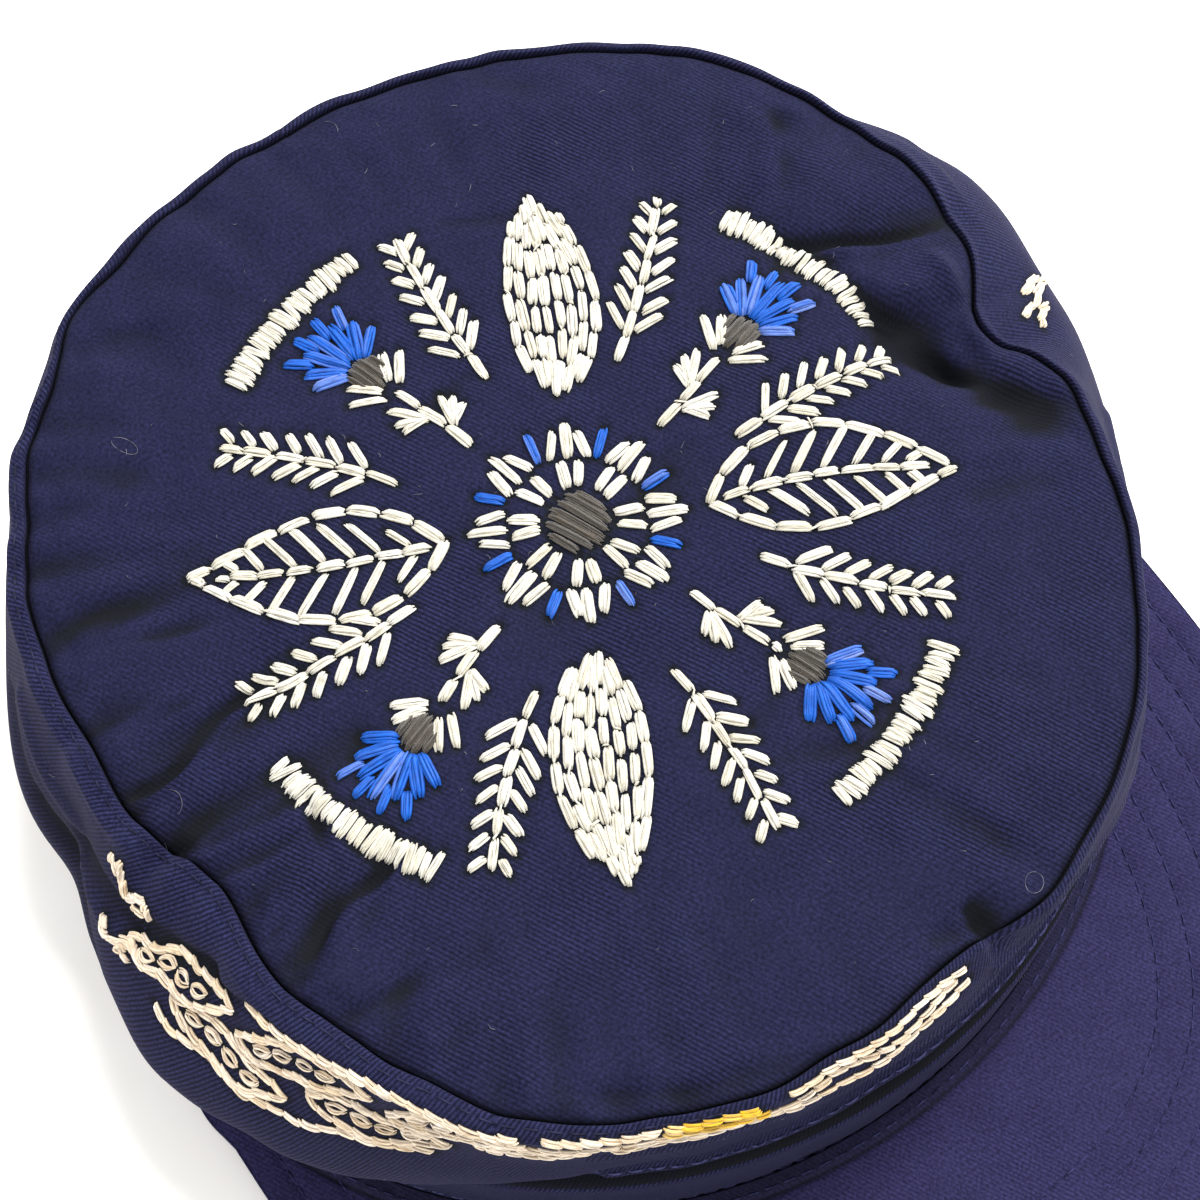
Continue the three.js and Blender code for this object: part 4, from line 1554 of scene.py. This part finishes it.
def new_material(name):
    material = bpy.data.materials.new(name)
    material.use_nodes = True
    tree = material.node_tree
    return material, tree, tree.nodes["Principled BSDF"]


def add(tree, kind, **settings):
    node = tree.nodes.new(kind)
    for name, value in settings.items():
        setattr(node, name, value)
    return node


def rgb(red, green, blue):
    """A colour given as it looks on screen, from 0 to 255, in linear light."""

    def linear(channel):
        c = channel / 255
        return c / 12.92 if c <= 0.04045 else ((c + 0.055) / 1.055) ** 2.4

    return (linear(red), linear(green), linear(blue), 1.0)


def feed(tree, node, inputs):
    """Gives a node's inputs, by name or number, each another node's output or a value of its own."""
    for key, value in inputs.items():
        if hasattr(value, "links"):
            tree.links.new(value, node.inputs[key])
        else:
            node.inputs[key].default_value = value


def mix_colour(tree, factor, a, b):
    node = add(tree, "ShaderNodeMix", data_type="RGBA", blend_type="MIX")
    feed(tree, node, {0: factor, 6: a, 7: b})
    return node.outputs[2]


def math_node(tree, operation, a, b):
    node = add(tree, "ShaderNodeMath", operation=operation)
    feed(tree, node, {0: a, 1: b})
    return node.outputs[0]


def map_range(tree, value, low, high, to_low, to_high):
    node = add(tree, "ShaderNodeMapRange")
    feed(tree, node, {"Value": value, "From Min": low, "From Max": high})
    feed(tree, node, {"To Min": to_low, "To Max": to_high})
    return node.outputs["Result"]


def mapped(tree, vector, setting, value):
    """A texture's vector, turned or stretched."""
    node = add(tree, "ShaderNodeMapping")
    feed(tree, node, {"Vector": vector, setting: value})
    return node.outputs["Vector"]


def noise(tree, vector, scale, detail=2.0):
    node = add(tree, "ShaderNodeTexNoise")
    feed(tree, node, {"Vector": vector, "Scale": scale, "Detail": detail})
    return node.outputs["Fac"]


def wave(tree, vector, degrees, pitch, distortion):
    """Stripes across a direction, pitch millimetres apart."""
    turned = mapped(tree, vector, "Rotation", (0, 0, math.radians(-degrees)))
    scale = 2 * math.pi / WAVE_TEXTURE_TURN / pitch
    node = add(tree, "ShaderNodeTexWave", wave_type="BANDS", bands_direction="Y")
    feed(tree, node, {"Vector": turned, "Scale": scale, "Distortion": distortion})
    feed(tree, node, {"Detail": 1.0, "Detail Scale": 0.6})
    return node.outputs["Fac"]


def bumped(tree, height, strength, distance):
    node = add(tree, "ShaderNodeBump")
    feed(tree, node, {"Height": height, "Strength": strength, "Distance": distance})
    return node.outputs["Normal"]


def toned(tree, colour, inputs):
    """A colour with another value or saturation."""
    node = add(tree, "ShaderNodeHueSaturation")
    feed(tree, node, {"Color": colour, **inputs})
    return node.outputs["Color"]


def attribute(tree, name):
    return add(tree, "ShaderNodeAttribute", attribute_name=name).outputs["Fac"]


# Near-black colour that the hollow value mixes into the cloth as painted shade in folds, creases, grooves,
# at the wall's foot and beside stitches.
PAINTED_SHADE_COLOUR = (0.0055, 0.0065, 0.0062, 1.0)


def weave(tree, cloth, wale_degrees):
    """Diagonal wales, broken by the yarns that cross them."""
    wales = wave(tree, cloth, wale_degrees, WALE_PITCH, 1.5)
    yarns = wave(tree, cloth, wale_degrees + YARN_TURN, YARN_PITCH, 1.6)
    return math_node(tree, "MULTIPLY", wales, map_range(tree, yarns, 0.0, 1.0, 0.6, 1.0))


def pale_flecks_and_ridge_highlight(tree, cloth, hollow):
    """How pale the cloth is: worn in flecks and in patches, and lighter on its ridges and along the seam's
    edge as a painted highlight.
    """
    flecks = map_range(tree, noise(tree, cloth, 1.7, 5.0), 0.3, 0.7, 0.55, 1.42)
    mottle = map_range(tree, noise(tree, cloth, 0.13, 3.0), 0.3, 0.7, 0.9, 1.1)
    # painted highlight: negative hollow values on ridges and along the seam's edge lighten the colour
    ridges = map_range(tree, hollow, -0.8, 0.0, 1.4, 1.0)
    return math_node(tree, "MULTIPLY", math_node(tree, "MULTIPLY", flecks, mottle), ridges)


def twill(name, dark, light, wale_degrees, relief, sheen, fade):
    """Navy cotton twill: fine diagonal wales that show less in some patches. Its colour takes painted shade
    in folds and creases and a painted highlight on ridges, from the hollow attribute.
    """
    material, tree, shader = new_material(name)
    cloth = add(tree, "ShaderNodeUVMap", uv_map="cloth").outputs["UV"]
    hollow = attribute(tree, "hollow")
    patches = noise(tree, cloth, 0.035, 2.0)
    shows = map_range(tree, patches, fade[0], fade[1], 0.15, 0.76)
    shows = math_node(tree, "MULTIPLY", shows, attribute(tree, "wales"))
    woven = weave(tree, cloth, wale_degrees)
    ribs = map_range(tree, woven, 0.12, 0.62, 0.0, 0.8)
    line = math_node(tree, "MULTIPLY", math_node(tree, "SUBTRACT", ribs, 0.4), shows)
    line = math_node(tree, "ADD", line, 0.45)
    base = mix_colour(tree, line, dark, light)
    tinted = toned(tree, base, {"Value": pale_flecks_and_ridge_highlight(tree, cloth, hollow)})
    # painted shade: the hollow value mixes the colour towards near-black
    painted_shade_share = map_range(tree, hollow, 0.0, 1.0, 0.0, 0.86)
    raised = math_node(tree, "MULTIPLY", woven, shows)
    threads = math_node(tree, "MULTIPLY", noise(tree, cloth, 3.0, 1.0), 0.6)
    height = math_node(tree, "ADD", raised, threads)
    looks = {
        "Base Color": mix_colour(tree, painted_shade_share, tinted, PAINTED_SHADE_COLOUR),
        "Roughness": map_range(tree, patches, 0.3, 0.7, 0.82, 0.94),
        "Sheen Weight": map_range(tree, hollow, 0.0, 0.7, sheen, 0.0),
        "Specular IOR Level": 0.06,
        "Sheen Roughness": 0.4,
        "Sheen Tint": (0.6, 0.58, 0.95, 1.0),
        "Normal": bumped(tree, height, relief, 0.00012),
    }
    feed(tree, shader, looks)
    return material


def floss(name, shade, light, sheen=0.3):
    """Stranded embroidery cotton: fine streaks along each strand, each in a slightly different tone, and
    painted shade on the strands' sides where they crowd together.
    """
    material, tree, shader = new_material(name)
    cloth = add(tree, "ShaderNodeUVMap", uv_map="cloth").outputs["UV"]
    streaks = noise(tree, mapped(tree, cloth, "Scale", (0.5, 9.0, 1.0)), 1.0, 3.0)
    tone = attribute(tree, "tone")
    fibre = map_range(tree, streaks, 0.3, 0.6, 0.25, 1.0)
    painted_crevice_shade = map_range(tree, attribute(tree, "crevice"), 0.0, 1.0, 1.0, 0.15)
    base = mix_colour(tree, math_node(tree, "MULTIPLY", fibre, painted_crevice_shade), shade, light)
    value = map_range(tree, tone, 0.0, 1.0, 0.84, 1.05)
    saturation = map_range(tree, tone, 0.0, 1.0, 1.35, 0.7)
    looks = {
        "Base Color": toned(tree, base, {"Value": value, "Saturation": saturation}),
        "Roughness": map_range(tree, streaks, 0.3, 0.7, 0.42, 0.6),
        "Sheen Weight": sheen,
        "Specular IOR Level": 0.3,
        "Normal": bumped(tree, streaks, 0.9, 0.0001),
    }
    feed(tree, shader, looks)
    return material


def sewing_thread(name, dark, light):
    material, tree, shader = new_material(name)
    place = add(tree, "ShaderNodeTexCoord").outputs["Object"]
    twist = noise(tree, place, 900.0, 2.0)
    base = mix_colour(tree, map_range(tree, twist, 0.35, 0.65, 0.0, 1.0), dark, light)
    feed(tree, shader, {"Base Color": base, "Roughness": 0.7, "Specular IOR Level": 0.12})
    return material


def floor_material():
    material, tree, shader = new_material("pale_paper")
    place = add(tree, "ShaderNodeTexCoord").outputs["Object"]
    grain = noise(tree, place, 40.0, 4.0)
    share = map_range(tree, grain, 0.3, 0.7, 0.0, 1.0)
    base = mix_colour(tree, share, rgb(249, 246, 241), rgb(252, 250, 246))
    feed(tree, shader, {"Base Color": base, "Roughness": 0.85})
    return material


# Stage

CAMERA_TARGET = (-5.0, -7.4, 80.0)
CAMERA_BACK = (-0.2217, -0.3178, 0.9219)
CAMERA_DISTANCE = 379.0
CAMERA_LENS = 72.0
CAMERA_SENSOR = 36.0
FLOOR_SIZE = 4.0  # metres
LIT_HEIGHT = 40.0  # millimetres above the table, where the lamps point


def make_camera():
    data = bpy.data.cameras.new("camera")
    data.lens = CAMERA_LENS
    data.sensor_width = CAMERA_SENSOR
    data.clip_start = 0.01
    camera = placed("camera", data)
    back = Vector(CAMERA_BACK).normalized()
    target = Vector(to_frame(np.array(CAMERA_TARGET)))
    camera.location = target + back * (CAMERA_DISTANCE * MM)
    camera.rotation_euler = (-back).to_track_quat("-Z", "Y").to_euler()
    bpy.context.scene.camera = camera


def soft_light(name, azimuth, elevation, distance, size, power, colour):
    """A square lamp on a sphere round the cap. Azimuth is degrees from the peak towards +X."""
    data = bpy.data.lights.new(name, "AREA")
    data.size = size
    data.energy = power
    data.color = colour
    lamp = placed(name, data)
    a, e = math.radians(azimuth), math.radians(elevation)
    way = Vector((math.sin(a) * math.cos(e), -math.cos(a) * math.cos(e), math.sin(e)))
    centre = Vector(to_frame(np.array([0.0, 0.0, LIT_HEIGHT])))
    lamp.location = centre + way * distance
    lamp.rotation_euler = (-way).to_track_quat("-Z", "Y").to_euler()


def make_stage():
    corners = np.array([(-1, -1, 0), (1, -1, 0), (1, 1, 0), (-1, 1, 0)], float) * FLOOR_SIZE / 2
    mesh = bpy.data.meshes.new("floor")
    mesh.from_pydata([tuple(c) for c in corners], [], [(0, 1, 2, 3)])
    mesh.materials.append(floor_material())
    floor = placed("floor", mesh)
    world = bpy.data.worlds.new("studio")
    world.use_nodes = True
    tree = world.node_tree
    feed(tree, tree.nodes["Background"], {"Color": (1.0, 1.0, 1.0, 1.0), "Strength": 1.35})
    bpy.context.scene.world = world
    soft_light("overhead", 100, 78, 1.3, 0.25, 14.0, (1.0, 0.99, 0.97))
    soft_light("side", 106, 27, 1.5, 0.8, 25.0, (1.0, 0.99, 0.98))
    bpy.context.scene.view_settings.view_transform = "Standard"


# Assembly


def dress_cloth(peak, carrier, crown_stitches, wall_stitches):
    top_cloth = twill("top_twill", rgb(6, 7, 20), rgb(38, 39, 70), -62, 0.8, 0.015, (0.36, 0.6))
    wall_cloth = twill("wall_twill", rgb(9, 10, 25), rgb(38, 39, 69), 62, 0.6, 0.03, (0.25, 0.5))
    band_cloth = twill("band_twill", rgb(10, 11, 26), rgb(44, 45, 76), 62, 0.6, 0.03, (0.25, 0.5))
    peak_cloth = twill("peak_twill", rgb(26, 25, 51), rgb(48, 45, 80), -62, 0.5, 0.08, (0.2, 0.9))
    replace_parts(crown_top_piece(top_cloth, crown_stitches), "crown_top")
    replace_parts(crown_wall_piece(wall_cloth, wall_stitches, carrier), "crown_wall")
    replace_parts(head_band_piece(band_cloth), "head_band")
    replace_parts(peak_piece(peak, peak_cloth), "peak")


UP = np.array([0.0, 0.0, 1.0])
LEVEL = np.zeros(3)
EDGE_ROW_AZIMUTHS = (-150, -22)
WALL_ROW = 35.7  # height of the stitches that hold the wall to the band


def bulged(stitches):
    """Stitches of an upright wall, each with its middle lifted outwards and its ends sunk in."""
    rows = []
    for stitch in stitches:
        outward = stitch * (1, 1, 0)
        outward /= np.linalg.norm(outward, axis=1, keepdims=True)
        rows.append(stitch + outward * WALL_ARCH[:, None])
    return rows


def dress_seams(peak, carrier):
    thread = sewing_thread("seam_thread", rgb(18, 19, 44), rgb(47, 49, 88))
    pale_thread = sewing_thread("band_thread", rgb(34, 35, 66), rgb(70, 72, 114))
    dull_thread = sewing_thread("edge_thread", rgb(14, 15, 32), rgb(36, 37, 64))
    rows = []
    for k in range(STITCH_ROW_COUNT):
        line = peak.line_at(peak.edge_distance, STITCH_ROW_FIRST + k * STITCH_ROW_PITCH)
        rows += seam_stitches(line, UP, 40 + k)
    tubes("peak_stitching", rows, SEAM_THREAD_RADIUS, 5, thread)
    rows = seam_stitches(peak.line_at(peak.from_band, FLANGE_ROW), UP, 50)
    tubes("flange_stitching", rows, SEAM_THREAD_RADIUS, 5, thread)
    rows = []
    turn = np.linspace(-180, 180, 1441)
    line = level_ring(turn, band_radius(turn, 0.45), BAND_ROW)
    rows += bulged(seam_stitches(line, LEVEL, 60))
    outside = wall_surface(turn)[:, :WALL_POINTS]
    line = np.stack([interpolated(WALL_ROW, points[:, 2], points) for points in outside])
    rows += bulged(seam_stitches(line, LEVEL, 61))
    tubes("band_stitching", rows, BAND_THREAD_RADIUS, 5, pale_thread)
    turn = np.linspace(*EDGE_ROW_AZIMUTHS, 600)
    line, _ = carrier(np.stack([turn, np.full_like(turn, EDGE_ROW)], -1))
    tubes("edge_stitching", seam_stitches(line, UP, 70), SEAM_THREAD_RADIUS, 5, dull_thread)


def dress_embroidery(crown_colours, wall_colours, carrier):
    white_floss = floss("floss_white", rgb(112, 104, 86), rgb(226, 222, 208))
    cream_floss = floss("floss_cream", rgb(128, 102, 78), rgb(238, 222, 198))
    blue_floss = floss("floss_blue", rgb(1, 36, 100), rgb(2, 92, 196), 0.03)
    brown_floss = floss("floss_dark", rgb(20, 18, 15), rgb(66, 58, 48))
    yellow_floss = floss("floss_yellow", rgb(130, 90, 4), rgb(226, 182, 20))
    blue, brown, flowers, leaves, sprigs = crown_colours
    cream, yellow = wall_colours
    floss_piece("crown_flowers_blue", blue.rows, crown_carrier, blue_floss, 81)
    floss_piece("crown_flowers_brown", brown.rows, crown_carrier, brown_floss, 82)
    floss_piece("crown_flowers_white", flowers.rows, crown_carrier, white_floss, 83)
    floss_piece("crown_leaves_white", leaves.rows, crown_carrier, white_floss, 84)
    floss_piece("crown_sprigs_white", sprigs.rows, crown_carrier, white_floss, 85)
    ties = flowers.ties + leaves.ties + sprigs.ties
    floss_piece("crown_ties_white", ties, crown_carrier, white_floss, 86, 2)
    floss_piece("wall_embroidery_cream", cream.rows, carrier, cream_floss, 87, 4)
    floss_piece("wall_embroidery_yellow", yellow.rows, carrier, yellow_floss, 88, 4)


def dress_lint(carrier):
    fibre = sewing_thread("lint", rgb(60, 60, 76), rgb(120, 119, 128))
    tubes("lint", lint_lines(carrier), LINT_RADIUS, 4, fibre)


def build_cap():
    peak = Peak()
    carrier = WallCarrier()
    crown_colours = crown_embroidery()
    wall_colours = wall_embroidery()
    crown_stitches = [row for colour in crown_colours for row in colour.rows]
    wall_stitches = [row for colour in wall_colours for row in colour.rows]
    dress_cloth(peak, carrier, crown_stitches, wall_stitches)
    dress_seams(peak, carrier)
    dress_embroidery(crown_colours, wall_colours, carrier)
    dress_lint(carrier)


make_camera()
make_stage()
build_cap()
